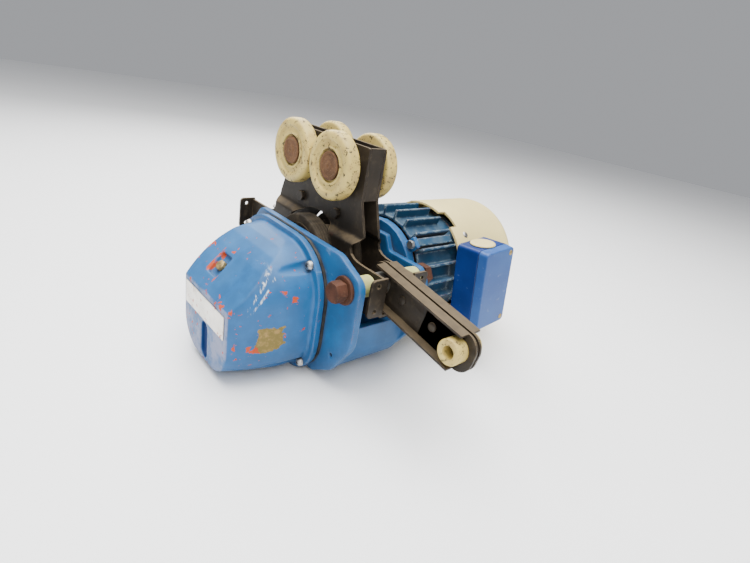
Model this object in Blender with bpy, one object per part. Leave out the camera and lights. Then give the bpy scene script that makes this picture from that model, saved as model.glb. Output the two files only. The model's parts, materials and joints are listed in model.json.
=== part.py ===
"""Motor-driven hoist trolley: a four-wheel rail trolley, a friction drive unit and a coupling arm.

Axes: X runs along all the shafts, with the motor at +X and the gear cover at -X.  Y is the
direction of travel, with the coupling arm at -Y.  Z is up.  Sizes are in metres.
Places are given from the middle of the trolley, at the height of its end tabs.
"""

import math

import bmesh
import bpy
from mathutils import Matrix, Vector

# ---------------------------------------------------------------- clearances
FIT = 0.0003            # gap between pieces that touch
RUN = 0.0005            # gap round a turning shaft
SWING = 0.0025          # side gap beside a swinging piece

# ---------------------------------------------------------------- trolley
PLATE = 0.003           # sheet thickness of the frame
FRAME_HALF_LENGTH = 0.140
FRAME_HALF_WIDTH = 0.022
HANGER_HALF_WIDTH = 0.012
FRAME_TOP = 0.019
FRAME_BOTTOM = -0.030
HANGER_TOP = 0.134
HANGER_HALF_LENGTH = 0.073
JOGGLE_LOW = 0.033      # heights between which the sheet is set inwards
JOGGLE_HIGH = 0.043
TAB_REACH = 0.018       # how far an end tab stands out from the side plate
TAB_HALF_HEIGHT = 0.021
TAB_HOLE_RADIUS = 0.0025
TAB_HOLE_HEIGHT = 0.014
FLOOR_TOP = -0.0228
FLOOR_REACH = 0.0197    # how far the front floor plate runs past the pivot, under the arm

ROLLER_RADIUS = 0.036
ROLLER_WIDTH = 0.0165
ROLLER_OUTER_FACE = 0.035
ROLLER_GAP = 0.002      # between the treads of the front and the rear wheels
ROLLER_HEIGHT = 0.1077
AXLE_RADIUS = 0.0075
AXLE_HEAD_RADIUS = 0.015
HANGER_BOLT_SPACING = 0.070
HANGER_BOLT_HEIGHT = 0.0545
HANGER_BOLT_RADIUS = 0.004

# ---------------------------------------------------------------- friction wheel
WHEEL_Z = -0.008
WHEEL_RADIUS = 0.050
TYRE_THICKNESS = 0.0097
TYRE_INNER_X = 0.0144
TYRE_OUTER_X = 0.0337
HUB_RADIUS = 0.015
HUB_BORE = 0.0078

# ---------------------------------------------------------------- drive housing
HOUSING_INNER_X = 0.046
HOUSING_WALL = 0.008
TROUGH_WALL = 0.008
FLANGE_TOP = 0.035
HOUSING_FRONT = -0.139
HOUSING_BOTTOM = -0.116
TROUGH_TOP_FRONT = -0.050
PIVOT_Y = -0.117
PIVOT_Z = 0.004
PIVOT_RADIUS = 0.008
PIVOT_WASHER_RADIUS = 0.015
SPACER_RADIUS = 0.0115

# ---------------------------------------------------------------- gear cover
COVER_CENTRE_Y = -0.006
COVER_NOSE_Y = -0.013
COVER_HALF_WIDTH = 0.0875
COVER_NOSE_HALF_WIDTH = 0.052
COVER_TOP = 0.035
COVER_BOTTOM = -0.121
COVER_NOSE_X = -0.151
COVER_SLOPE_Z = -0.030  # height of the nose edge, where the sloped face starts
COVER_RIM = 0.008
COVER_UPPER_RADIUS = 0.060
COVER_LOWER_RADIUS = 0.048
COVER_SCREW_INSET = 0.0055
COVER_WALL = 0.006
RECESS_DEPTH = 0.0055   # how deep the oil plug's pocket is sunk into the slope
GASKET = 0.0035

# ---------------------------------------------------------------- gears
MODULE = 0.00175
BACKLASH = 0.0003
MOTOR_PINION_TEETH = 11
FIRST_GEAR_TEETH = 37
CROSS_PINION_TEETH = 11
LAY_GEAR_TEETH = 32
LAY_PINION_TEETH = 12
OUTPUT_GEAR_TEETH = 31
GEAR_WIDTH = 0.008
FIRST_GEAR_WIDTH = 0.006
CROSS_SHAFT_RADIUS = 0.007
PINION_SEAT_RADIUS = 0.005
LAYSHAFT_RADIUS = 0.006

# ---------------------------------------------------------------- motor
MOTOR_ANGLE = math.radians(17.7528)     # how far the motor's axis lies below the wheel's, seen from there
FRAME_RADIUS = 0.070
FRAME_TUBE_WALL = 0.0039
FIN_RADIUS = 0.081
FIN_THICKNESS = 0.003
FIN_COUNT = 24
MOTOR_START_X = 0.066
FIN_END_X = 0.1275
MOTOR_END_X = 0.146
ROTOR_RADIUS = 0.036
AIR_GAP = 0.0006
CORE_START_X = 0.086
CORE_LENGTH = 0.044
SLOT_RADIUS = 0.004
SHAFT_RADIUS = 0.009
MOTOR_BEARING_RADIUS = 0.016
FAN_COVER_RADIUS = 0.083
FAN_COVER_START_X = 0.128
FAN_COVER_DOME_X = 0.232
FAN_COVER_END_X = 0.280
FAN_COVER_WALL = 0.0025
DOME_STEPS = 5
FAN_X = 0.170
FAN_WIDTH = 0.024

# ---------------------------------------------------------------- terminal box
BOX_X = 0.115           # lid's top corner nearest the gear end
BOX_Y = -0.159
BOX_Z = 0.039
BOX_WIDTH = 0.056
BOX_DEPTH = 0.044
BOX_HEIGHT = 0.102
BOX_WALL = 0.0035
BOX_LID = 0.012
BOX_LEAN = math.radians(-5.2)
BOX_TURN = math.radians(-5.2)
PLUG_RADIUS = 0.0155

# ---------------------------------------------------------------- coupling arm
ARM_EYE_Y = -0.227
ARM_EYE_Z = -0.014
ARM_HEIGHT = 0.042
ARM_HALF_WIDTH = 0.014
ARM_SHEET = 0.0025
ARM_GAP = 0.003         # between the two channels, back to back
EYE_RADIUS = 0.013
EYE_BORE = 0.0065
EYE_HALF_LENGTH = 0.018

# ---------------------------------------------------------------- suspension spring
SPRING_Y = 0.100
SPRING_RADIUS = 0.010
SPRING_WIRE = 0.0016
SPRING_TURNS = 5
SPRING_HEIGHT = 0.040
SPRING_BOLT_RADIUS = 0.004

# ---------------------------------------------------------------- worked out from the above
ROLLER_SPACING = 2 * ROLLER_RADIUS + ROLLER_GAP
HOUSING_OUTER_X = HOUSING_INNER_X + HOUSING_WALL
FIRST_CENTRES = MODULE * (MOTOR_PINION_TEETH + FIRST_GEAR_TEETH) / 2
BACK_CENTRES = MODULE * (CROSS_PINION_TEETH + LAY_GEAR_TEETH) / 2
MOTOR_Y = -FIRST_CENTRES * math.cos(MOTOR_ANGLE)
MOTOR_Z = WHEEL_Z - FIRST_CENTRES * math.sin(MOTOR_ANGLE)
LAY_Z = WHEEL_Z - BACK_CENTRES
RIM_X = -HOUSING_OUTER_X - GASKET - FIT
FIRST_GEAR_X = HOUSING_OUTER_X + 0.0023
OUTPUT_GEAR_X = -HOUSING_OUTER_X - 0.020
LAY_GEAR_X = OUTPUT_GEAR_X - GEAR_WIDTH - 0.006
BRIDGE_X = LAY_GEAR_X - 0.011
BRIDGE_THICKNESS = 0.006
ARM_SLOPE = math.atan2(PIVOT_Z - ARM_EYE_Z, PIVOT_Y - ARM_EYE_Y)
ARM_LENGTH = math.hypot(PIVOT_Z - ARM_EYE_Z, PIVOT_Y - ARM_EYE_Y)


# ================================================================ helpers
def arc(centre_y, centre_z, radius, start, end, steps):
    """Points on an arc in the YZ plane; angles in degrees from +Y towards +Z."""
    points = []
    for step in range(steps + 1):
        angle = math.radians(start + (end - start) * step / steps)
        points.append((centre_y + radius * math.cos(angle), centre_z + radius * math.sin(angle)))
    return points


def filleted(corners, steps=3):
    """An outline from (y, z, radius) corners, each rounded by its own radius."""
    outline = []
    count = len(corners)
    for index, (y, z, radius) in enumerate(corners):
        here = Vector((y, z))
        before = Vector(corners[index - 1][:2]) - here
        after = Vector(corners[(index + 1) % count][:2]) - here
        if radius <= 0:
            outline.append((y, z))
            continue
        before.normalize()
        after.normalize()
        half = math.acos(max(-1.0, min(1.0, before.dot(after)))) / 2
        centre = here + (before + after).normalized() * (radius / math.sin(half))
        reach = radius / math.tan(half)
        first = here + before * reach - centre
        sweep = math.pi - 2 * half
        if first.x * (here + after * reach - centre).y - first.y * (here + after * reach - centre).x < 0:
            sweep = -sweep
        for step in range(steps + 1):
            turn = sweep * step / steps
            spoke = Vector((first.x * math.cos(turn) - first.y * math.sin(turn),
                            first.x * math.sin(turn) + first.y * math.cos(turn)))
            outline.append(tuple(centre + spoke))
    return outline


def loft(rings):
    """A closed solid through rings of equally many points, capped at both ends."""
    bm = bmesh.new()
    loops = [[bm.verts.new(point) for point in ring] for ring in rings]
    count = len(loops[0])
    for lower, upper in zip(loops, loops[1:]):
        for index in range(count):
            after = (index + 1) % count
            bm.faces.new((lower[index], lower[after], upper[after], upper[index]))
    bm.faces.new(loops[0])
    bm.faces.new(loops[-1])
    bmesh.ops.recalc_face_normals(bm, faces=bm.faces)
    return bm


def prism(outline, x0, x1):
    """A YZ outline extruded along X."""
    return loft([[(x, y, z) for y, z in outline] for x in (x0, x1)])


def block(x0, x1, y0, y1, z0, z1):
    bm = bmesh.new()
    bmesh.ops.create_cube(bm, size=1.0)
    bmesh.ops.scale(bm, vec=(x1 - x0, y1 - y0, z1 - z0), verts=bm.verts)
    bmesh.ops.translate(bm, vec=((x0 + x1) / 2, (y0 + y1) / 2, (z0 + z1) / 2), verts=bm.verts)
    return bm


def turned(profile, steps=24):
    """A closed (x, r) profile, or one that ends on the axis, spun about X."""
    bm = bmesh.new()
    verts = [bm.verts.new((x, 0.0, r)) for x, r in profile]
    edges = []
    for first, second in zip(verts, verts[1:] + verts[:1]):
        if first.co.z > 0 or second.co.z > 0:
            edges.append(bm.edges.new((first, second)))
    bmesh.ops.spin(bm, geom=verts + edges, cent=(0, 0, 0), axis=(1, 0, 0), dvec=(0, 0, 0),
                   angle=2 * math.pi, steps=steps, use_merge=True)
    bmesh.ops.remove_doubles(bm, verts=bm.verts, dist=1e-6)
    bmesh.ops.recalc_face_normals(bm, faces=bm.faces)
    return bm


def ring(x0, x1, inner, outer, steps=24, chamfer=0.0):
    """A plain ring, its outer edges chamfered where a size is given."""
    if chamfer:
        return turned([(x0, inner), (x0, outer - chamfer), (x0 + chamfer, outer),
                       (x1 - chamfer, outer), (x1, outer - chamfer), (x1, inner)], steps)
    return turned([(x0, inner), (x0, outer), (x1, outer), (x1, inner)], steps)


def rod(x0, x1, radius, steps=16):
    return turned([(x0, 0.0), (x0, radius), (x1, radius), (x1, 0.0)], steps)


def round_ring(x, radius, count=12):
    return [(x, radius * math.cos(2 * math.pi * k / count), radius * math.sin(2 * math.pi * k / count))
            for k in range(count)]


def hex_ring(x, radius):
    """Twelve points on a hexagon: its corners and the middles of its sides."""
    points = []
    for k in range(12):
        reach = radius if k % 2 == 0 else radius * math.cos(math.pi / 6)
        points.append((x, reach * math.cos(math.pi * k / 6), reach * math.sin(math.pi * k / 6)))
    return points


def bolt(head_x, seat_x, end_x, head_radius, shank_radius):
    """A hexagon-headed bolt along X, from its head's outside to its tip."""
    return loft([hex_ring(head_x, head_radius), hex_ring(seat_x, head_radius),
                 round_ring(seat_x, shank_radius), round_ring(end_x, shank_radius)])


def screw(head_x, seat_x, end_x, head_radius, shank_radius):
    """A round-headed screw along X, with a domed head."""
    crown = head_x + (seat_x - head_x) * 0.4
    return loft([round_ring(head_x, head_radius * 0.7, 8), round_ring(crown, head_radius, 8),
                 round_ring(seat_x, head_radius, 8), round_ring(seat_x, shank_radius, 8),
                 round_ring(end_x, shank_radius, 8)])


def moved(bm, x=0.0, y=0.0, z=0.0, turn=None):
    """The same mesh, turned by a matrix if one is given and then shifted."""
    if turn is not None:
        bmesh.ops.transform(bm, matrix=turn.to_4x4(), verts=bm.verts)
    bmesh.ops.translate(bm, vec=(x, y, z), verts=bm.verts)
    return bm


def combined(pieces):
    """One mesh that holds several separate solids."""
    whole = bmesh.new()
    for bm in pieces:
        copy = bpy.data.meshes.new("solid")
        bm.to_mesh(copy)
        bm.free()
        whole.from_mesh(copy)
        bpy.data.meshes.remove(copy)
    return whole


def gear_outline(teeth, towards, in_gap=False):
    """An involute gear; a tooth, or with in_gap a gap, points in the direction towards."""
    pitch = teeth * MODULE / 2
    pressure = math.radians(20)
    base = pitch * math.cos(pressure)
    tip = pitch + 0.8 * MODULE
    root = pitch - 1.1 * MODULE
    half = (math.pi * MODULE / 2 - BACKLASH) / 2 / pitch

    def flank(radius):
        angle = math.acos(min(1.0, base / radius))
        return half + (math.tan(pressure) - pressure) - (math.tan(angle) - angle)

    outline = []
    for tooth in range(teeth):
        middle = towards + 2 * math.pi * (tooth + (0.5 if in_gap else 0.0)) / teeth
        foot = flank(max(root, base))
        for radius, angle in ((root, -foot), (tip, -flank(tip)), (tip, flank(tip)), (root, foot)):
            outline.append((radius * math.cos(middle + angle), radius * math.sin(middle + angle)))
    return outline


def gear(teeth, x, width, bore, towards, in_gap=False):
    """A gear from x to x + width, and the bore to be cut from it."""
    blank = prism(gear_outline(teeth, towards, in_gap), x, x + width)
    return blank, rod(x - width, x + 2 * width, bore)


# ================================================================ scene
def clear_scene():
    for thing in list(bpy.data.objects):
        bpy.data.objects.remove(thing, do_unlink=True)
    for mesh in list(bpy.data.meshes):
        bpy.data.meshes.remove(mesh)


PALETTE = {
    "paint": ((0.12, 0.36, 0.62), 0.45, 0.0),
    "motor_paint": ((0.05, 0.20, 0.36), 0.5, 0.0),
    "box_blue": ((0.04, 0.14, 0.55), 0.4, 0.0),
    "cream": ((0.80, 0.72, 0.48), 0.5, 0.0),
    "nylon": ((0.78, 0.74, 0.55), 0.5, 0.0),
    "spacer_green": ((0.70, 0.75, 0.48), 0.5, 0.0),
    "dark_steel": ((0.11, 0.09, 0.08), 0.6, 0.6),
    "rust": ((0.26, 0.10, 0.05), 0.8, 0.4),
    "bright_steel": ((0.45, 0.45, 0.45), 0.35, 1.0),
    "rubber": ((0.05, 0.05, 0.05), 0.8, 0.0),
    "copper": ((0.55, 0.25, 0.10), 0.4, 1.0),
    "brass": ((0.50, 0.38, 0.15), 0.45, 1.0),
    "label_metal": ((0.70, 0.70, 0.66), 0.4, 0.6),
    "gasket": ((0.08, 0.08, 0.08), 0.9, 0.0),
}


def material(name):
    """The palette's material of that name, made the first time it is asked for."""
    if name in bpy.data.materials:
        return bpy.data.materials[name]
    colour, roughness, metallic = PALETTE[name]
    made = bpy.data.materials.new(name)
    made.use_nodes = True
    shader = made.node_tree.nodes["Principled BSDF"]
    shader.inputs["Base Color"].default_value = (*colour, 1.0)
    shader.inputs["Roughness"].default_value = roughness
    shader.inputs["Metallic"].default_value = metallic
    return made


BODIES = {}


def add_body(name, place, parent=None):
    """An empty that carries one rigid body, with its origin on the body's joint axis."""
    empty = bpy.data.objects.new(name + "_axis", None)
    empty.empty_display_size = 0.02
    bpy.context.scene.collection.objects.link(empty)
    above = Vector((0, 0, 0))
    if parent:
        empty.parent = BODIES[parent][0]
        above = BODIES[parent][1]
    empty.location = Vector(place) - above
    BODIES[name] = (empty, Vector(place))
    return empty


def add_object(name, bm, body, at, turn):
    mesh = bpy.data.meshes.new(name)
    bm.to_mesh(mesh)
    bm.free()
    made = bpy.data.objects.new(name, mesh)
    bpy.context.scene.collection.objects.link(made)
    empty, place = BODIES[body]
    made.parent = empty
    made.location = Vector(at) - place
    if turn is not None:
        made.rotation_euler = turn.to_euler()
    return made


def add_piece(name, bm, finish, body, at=(0, 0, 0), turn=None, joined=(), cut=()):
    """One named piece; joined solids are united with it and cut ones are taken away."""
    piece = add_object(name, bm, body, at, turn)
    piece.data.materials.append(material(finish))
    for operation, solids in (("UNION", joined), ("DIFFERENCE", cut)):
        if not solids:
            continue
        tool = add_object(name + "_" + operation.lower(), combined(solids), body, at, turn)
        tool.hide_render = True
        tool.display_type = "WIRE"
        modifier = piece.modifiers.new(operation.title(), "BOOLEAN")
        modifier.operation = operation
        modifier.solver = "EXACT"
        modifier.use_self = len(solids) > 1
        modifier.object = tool
    piece.data.shade_smooth()
    piece.data.set_sharp_from_angle(angle=math.radians(35))
    return piece


# ================================================================ trolley
def side_outline():
    """Half of a side plate's edge, from its middle foot round the front to its top."""
    arch = WHEEL_RADIUS + 0.006
    drop = WHEEL_Z - FRAME_BOTTOM
    foot = -math.degrees(math.asin(drop / arch))
    half = arc(0, WHEEL_Z, arch, 90, 180 - foot, 6)
    half += [(-FRAME_HALF_LENGTH + 0.012, FRAME_BOTTOM), (-FRAME_HALF_LENGTH + PLATE, -TAB_HALF_HEIGHT)]
    half += [(-FRAME_HALF_LENGTH + PLATE, FRAME_TOP), (-0.102, FRAME_TOP), (-0.090, FRAME_TOP + 0.001)]
    half += [(-HANGER_HALF_LENGTH - 0.006, 0.025), (-HANGER_HALF_LENGTH - 0.004, JOGGLE_LOW)]
    half += [(-HANGER_HALF_LENGTH - 0.012, JOGGLE_HIGH), (-HANGER_HALF_LENGTH, 0.079)]
    half += [(-HANGER_HALF_LENGTH, HANGER_TOP)]
    return half


def side_plate(side):
    half = side_outline()
    outline = half + [(-y, z) for y, z in reversed(half[1:])]
    inner = FRAME_HALF_WIDTH - PLATE
    bm = prism(outline, side * inner, side * FRAME_HALF_WIDTH)
    for height in (JOGGLE_LOW, JOGGLE_HIGH):
        geometry = bm.verts[:] + bm.edges[:] + bm.faces[:]
        bmesh.ops.bisect_plane(bm, geom=geometry, plane_co=(0, 0, height), plane_no=(0, 0, 1), dist=1e-7)
    step = FRAME_HALF_WIDTH - HANGER_HALF_WIDTH
    for vert in bm.verts:
        share = (vert.co.z - JOGGLE_LOW) / (JOGGLE_HIGH - JOGGLE_LOW)
        vert.co.x -= side * step * max(0.0, min(1.0, share))
    return bm


def end_tabs(side):
    tabs = []
    for end in (-1, 1):
        y0, y1 = sorted((end * FRAME_HALF_LENGTH, end * (FRAME_HALF_LENGTH - PLATE)))
        outer = FRAME_HALF_WIDTH + TAB_REACH
        inner = FRAME_HALF_WIDTH - PLATE
        corner = 0.004
        outline = [(inner, -TAB_HALF_HEIGHT), (outer - corner, -TAB_HALF_HEIGHT),
                   (outer, -TAB_HALF_HEIGHT + corner), (outer, TAB_HALF_HEIGHT - corner),
                   (outer - corner, TAB_HALF_HEIGHT), (inner, TAB_HALF_HEIGHT)]
        tabs.append(loft([[(side * x, y, z) for x, z in outline] for y in (y0, y1)]))
    return tabs


def tab_hole_cutters(side):
    along_y = Matrix.Rotation(math.pi / 2, 3, "Z")
    cutters = []
    for height in (-TAB_HOLE_HEIGHT, TAB_HOLE_HEIGHT):
        drill = rod(-FRAME_HALF_LENGTH - 0.01, FRAME_HALF_LENGTH + 0.01, TAB_HOLE_RADIUS, 12)
        cutters.append(moved(drill, x=side * (FRAME_HALF_WIDTH + TAB_REACH / 2), z=height, turn=along_y))
    return cutters


def cross_drills(places, radius, steps=12):
    """Drills along X right through the trolley at (y, z) places."""
    reach = FRAME_HALF_WIDTH + 0.01
    return [moved(rod(-reach, reach, radius, steps), y=y, z=z) for y, z in places]


def build_trolley():
    axles = [(-ROLLER_SPACING / 2, ROLLER_HEIGHT), (ROLLER_SPACING / 2, ROLLER_HEIGHT)]
    hangers = [(-HANGER_BOLT_SPACING / 2, HANGER_BOLT_HEIGHT), (HANGER_BOLT_SPACING / 2, HANGER_BOLT_HEIGHT)]
    for side, word in ((-1, "left"), (1, "right")):
        cutters = cross_drills(axles, AXLE_RADIUS + FIT)
        cutters += cross_drills(hangers, HANGER_BOLT_RADIUS + FIT)
        cutters += cross_drills([(PIVOT_Y, PIVOT_Z)], PIVOT_RADIUS + RUN, 24)
        cutters += tab_hole_cutters(side)
        add_piece("side_plate_" + word, side_plate(side), "dark_steel", "trolley",
                  joined=end_tabs(side), cut=cutters)

    gap = HANGER_HALF_WIDTH - PLATE - FIT
    for end, word in ((-1, "front"), (1, "rear")):
        y0, y1 = sorted((end * HANGER_HALF_LENGTH, end * (HANGER_HALF_LENGTH - PLATE)))
        add_piece("end_plate_" + word, block(-gap, gap, y0, y1, 0.079, HANGER_TOP), "dark_steel", "trolley")

    inner = FRAME_HALF_WIDTH - PLATE - FIT
    start = WHEEL_RADIUS + 0.016
    end = FRAME_HALF_LENGTH - PLATE - FIT
    floor_low = FLOOR_TOP - PLATE
    front = min(end, FLOOR_REACH - PIVOT_Y)
    add_piece("floor_plate_front", block(-inner, inner, -front, -start, floor_low, FLOOR_TOP),
              "dark_steel", "trolley")
    spring_hole = moved(rod(-0.02, 0.02, SPRING_BOLT_RADIUS + SWING, 20), y=SPRING_Y, z=FLOOR_TOP,
                        turn=Matrix.Rotation(math.pi / 2, 3, "Y"))
    add_piece("floor_plate_rear", block(-inner, inner, start, end, floor_low, FLOOR_TOP),
              "dark_steel", "trolley", cut=[spring_hole])

    head = ROLLER_OUTER_FACE - 0.001
    seat = head - 0.0034
    for end, word in ((-1, "front"), (1, "rear")):
        y = end * ROLLER_SPACING / 2
        shape = turned([(-head, 0), (-head, AXLE_HEAD_RADIUS - 0.001), (-head + 0.001, AXLE_HEAD_RADIUS),
                        (-seat, AXLE_HEAD_RADIUS), (-seat, AXLE_RADIUS), (seat, AXLE_RADIUS),
                        (seat, AXLE_HEAD_RADIUS), (head - 0.001, AXLE_HEAD_RADIUS),
                        (head, AXLE_HEAD_RADIUS - 0.001), (head, 0)], 16)
        add_piece("axle_" + word, shape, "rust", "trolley", at=(0, y, ROLLER_HEIGHT))

    plate_out = HANGER_HALF_WIDTH + FIT
    ends = plate_out + 0.0042
    for (y, z), word in zip(hangers, ("front", "rear")):
        rings = [hex_ring(-ends, 0.0065), hex_ring(-plate_out, 0.0065),
                 round_ring(-plate_out, HANGER_BOLT_RADIUS), round_ring(plate_out, HANGER_BOLT_RADIUS),
                 hex_ring(plate_out, 0.0065), hex_ring(ends, 0.0065)]
        add_piece("hanger_bolt_" + word, loft(rings), "rust", "trolley", at=(0, y, z))


def build_rollers():
    inner_face = ROLLER_OUTER_FACE - ROLLER_WIDTH
    outer = ROLLER_OUTER_FACE
    floor = outer - 0.0047
    bore = AXLE_RADIUS + RUN
    radius = ROLLER_RADIUS
    boss = HANGER_HALF_WIDTH + RUN
    profile = [(boss, bore), (boss, 0.0105), (inner_face, 0.0115), (inner_face, radius - 0.003),
               (inner_face + 0.003, radius),
               (outer - 0.0035, radius), (outer, radius - 0.0035), (outer, radius - 0.009),
               (floor + 0.0025, radius - 0.011), (floor + 0.0025, 0.0185), (floor, 0.0175), (floor, bore)]
    for end, row in ((-1, "front"), (1, "rear")):
        for side, word in ((-1, "left"), (1, "right")):
            name = row + "_" + word
            place = (0, end * ROLLER_SPACING / 2, ROLLER_HEIGHT)
            body = "roller_" + name
            add_body(body, place, "trolley")
            shape = turned([(side * x, r) for x, r in profile], 20)
            add_piece("trolley_wheel_" + name, shape, "nylon", body, at=place)


# ================================================================ coupling arm
def arm_point(along, across):
    """A place on the arm: along from the pivot to the eye, across upwards."""
    y = PIVOT_Y - along * math.cos(ARM_SLOPE) - across * math.sin(ARM_SLOPE)
    z = PIVOT_Z - along * math.sin(ARM_SLOPE) + across * math.cos(ARM_SLOPE)
    return y, z


def arm_outline(half_height, start, end, corner):
    """The arm's side view from start to end along its length, its corners rounded."""
    corners = []
    for along, across in ((start, -half_height), (end, -half_height), (end, half_height),
                          (start, half_height)):
        corners.append((*arm_point(along, across), corner))
    return filleted(corners, 3)


def build_arm():
    half = ARM_HEIGHT / 2
    end = ARM_LENGTH + half * 0.95
    for side, word in ((-1, "left"), (1, "right")):
        web_in = ARM_GAP / 2
        web_out = web_in + ARM_SHEET
        web = prism(arm_outline(half, -half * 0.95, end, half * 0.75), side * web_in, side * web_out)
        flanges = []
        for across in (-1, 1):
            low, high = sorted((across * half, across * (half - ARM_SHEET)))
            corners = [arm_point(-0.006, low), arm_point(ARM_LENGTH + 0.004, low),
                       arm_point(ARM_LENGTH + 0.004, high), arm_point(-0.006, high)]
            flanges.append(prism(corners, side * (web_out - 0.001), side * ARM_HALF_WIDTH))
        holes = [moved(rod(-0.02, 0.02, EYE_RADIUS + FIT, 24), y=ARM_EYE_Y, z=ARM_EYE_Z),
                 moved(rod(-0.02, 0.02, PIVOT_RADIUS + 0.004 + FIT, 24), y=PIVOT_Y, z=PIVOT_Z)]
        add_piece("arm_channel_" + word, web, "dark_steel", "arm", joined=flanges, cut=holes)
    eye = ring(-EYE_HALF_LENGTH, EYE_HALF_LENGTH, EYE_BORE, EYE_RADIUS, 24, 0.0012)
    add_piece("arm_eye_bush", eye, "nylon", "arm", at=(0, ARM_EYE_Y, ARM_EYE_Z))
    inner = FRAME_HALF_WIDTH - PLATE - RUN
    bush = ring(-inner, inner, PIVOT_RADIUS + RUN, PIVOT_RADIUS + 0.004, 24)
    add_piece("arm_pivot_bush", bush, "bright_steel", "arm", at=(0, PIVOT_Y, PIVOT_Z))


# ================================================================ drive unit: housing
def gear_flange_outline():
    """The plate behind the gear cover, with the ear for the pivot bolt at its front."""
    rear = COVER_CENTRE_Y + COVER_HALF_WIDTH + 0.004
    corners = [(-0.100, FLANGE_TOP, 0.012), (HOUSING_FRONT, 0.018, 0.014), (HOUSING_FRONT, -0.055, 0.030),
               (-0.112, -0.096, 0.020), (-0.080, HOUSING_BOTTOM, 0.020), (0.066, HOUSING_BOTTOM, 0.040),
               (rear, -0.070, 0.030), (rear, 0.000, 0.030), (0.058, FLANGE_TOP, 0.012)]
    return filleted(corners)


def motor_flange_outline():
    """The plate on the motor side, stepped down over the frame's front end."""
    corners = [(-0.061, 0.033, 0.004), (-0.071, 0.016, 0.004), (-0.122, 0.016, 0.008),
               (-0.133, 0.002, 0.008), (-0.133, -0.055, 0.020), (-0.108, -0.092, 0.020),
               (-0.080, HOUSING_BOTTOM + 0.002, 0.020), (0.070, HOUSING_BOTTOM + 0.002, 0.035),
               (0.088, -0.060, 0.020), (0.080, 0.000, 0.020), (0.045, 0.033, 0.012)]
    return filleted(corners)


def trough_outline():
    """The wall that joins the two plates under the friction wheel, seen from the side."""
    front = -0.114
    rear = SPRING_Y + 0.006
    low = HOUSING_BOTTOM + 0.002
    wall = TROUGH_WALL
    rear_top = FRAME_BOTTOM - FIT
    outer = filleted([(front, TROUGH_TOP_FRONT, 0.0), (front, low, 0.040), (rear, low, 0.040),
                      (rear, rear_top, 0.0)], 4)
    inner = filleted([(rear - wall, rear_top, 0.0), (rear - wall, low + wall, 0.032),
                      (front + wall, low + wall, 0.032), (front + wall, TROUGH_TOP_FRONT, 0.0)], 4)
    return outer + inner


def build_housing():
    lap = 0.001
    inner = HOUSING_INNER_X
    plate = prism(gear_flange_outline(), -HOUSING_OUTER_X, -inner)
    boss_top = FRAME_BOTTOM - FIT
    upright = Matrix.Rotation(math.pi / 2, 3, "Y")
    spring_boss = moved(rod(-boss_top, 0.075, 0.011, 20), y=SPRING_Y, turn=upright)
    joined = [prism(trough_outline(), -inner - lap, inner + lap),
              prism(motor_flange_outline(), inner, HOUSING_OUTER_X), spring_boss]
    reach = HOUSING_OUTER_X + 0.01
    bearing = HUB_RADIUS + 0.008
    bolt_well = moved(rod(-boss_top - 0.01, -boss_top + 0.016, SPRING_BOLT_RADIUS + FIT, 16),
                      y=SPRING_Y, turn=upright)
    cut = [moved(rod(-reach, reach, bearing + FIT, 24), z=WHEEL_Z),
           moved(rod(-reach, reach, PIVOT_RADIUS + FIT, 24), y=PIVOT_Y, z=PIVOT_Z),
           moved(rod(-reach, -0.040, LAYSHAFT_RADIUS + RUN, 20), z=LAY_Z), bolt_well]
    cut += [moved(rod(-reach, -0.040, 0.0025, 10), y=-0.110, z=-0.077)]
    cut += [moved(rod(-reach, -0.040, 0.0025, 12), y=y, z=z) for y, z in cover_screw_places()]
    cut += [moved(rod(0.040, reach, 0.012, 24), y=MOTOR_Y, z=MOTOR_Z)]
    add_piece("main_housing", plate, "paint", "drive_unit", joined=joined, cut=cut)

    for side, word in ((-1, "left"), (1, "right")):
        x0, x1 = sorted((side * (inner + FIT), side * (HOUSING_OUTER_X - FIT)))
        add_piece("wheel_bearing_" + word, ring(x0, x1, HUB_RADIUS + FIT, bearing, 20), "bright_steel",
                  "drive_unit", at=(0, 0, WHEEL_Z))


def build_pivot():
    """The bolt that carries the frame and the arm, with its washer, spacers and nut."""
    outer = HOUSING_OUTER_X
    washer = 0.0034
    seat = -outer - washer - 2 * FIT
    at = (0, PIVOT_Y, PIVOT_Z)
    shape = bolt(seat - 0.0125, seat, outer + 0.0113, 0.0115, PIVOT_RADIUS)
    add_piece("pivot_bolt", shape, "rust", "drive_unit", at=at)
    shape = ring(-outer - FIT - washer, -outer - FIT, PIVOT_RADIUS + FIT, PIVOT_WASHER_RADIUS, 28)
    add_piece("pivot_washer", shape, "rust", "drive_unit", at=at)
    nut = loft([hex_ring(outer + FIT, 0.0135), hex_ring(outer + 0.0095, 0.0135)])
    add_piece("pivot_nut", nut, "rust", "drive_unit", at=at,
              cut=[rod(outer - 0.01, outer + 0.02, PIVOT_RADIUS + FIT)])
    for side, word in ((-1, "left"), (1, "right")):
        x0, x1 = sorted((side * (FRAME_HALF_WIDTH + RUN), side * (HOUSING_INNER_X - FIT)))
        shape = ring(x0, x1, PIVOT_RADIUS + FIT, SPACER_RADIUS, 16, 0.0008)
        add_piece("pivot_spacer_" + word, shape, "spacer_green", "drive_unit", at=at)


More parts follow.
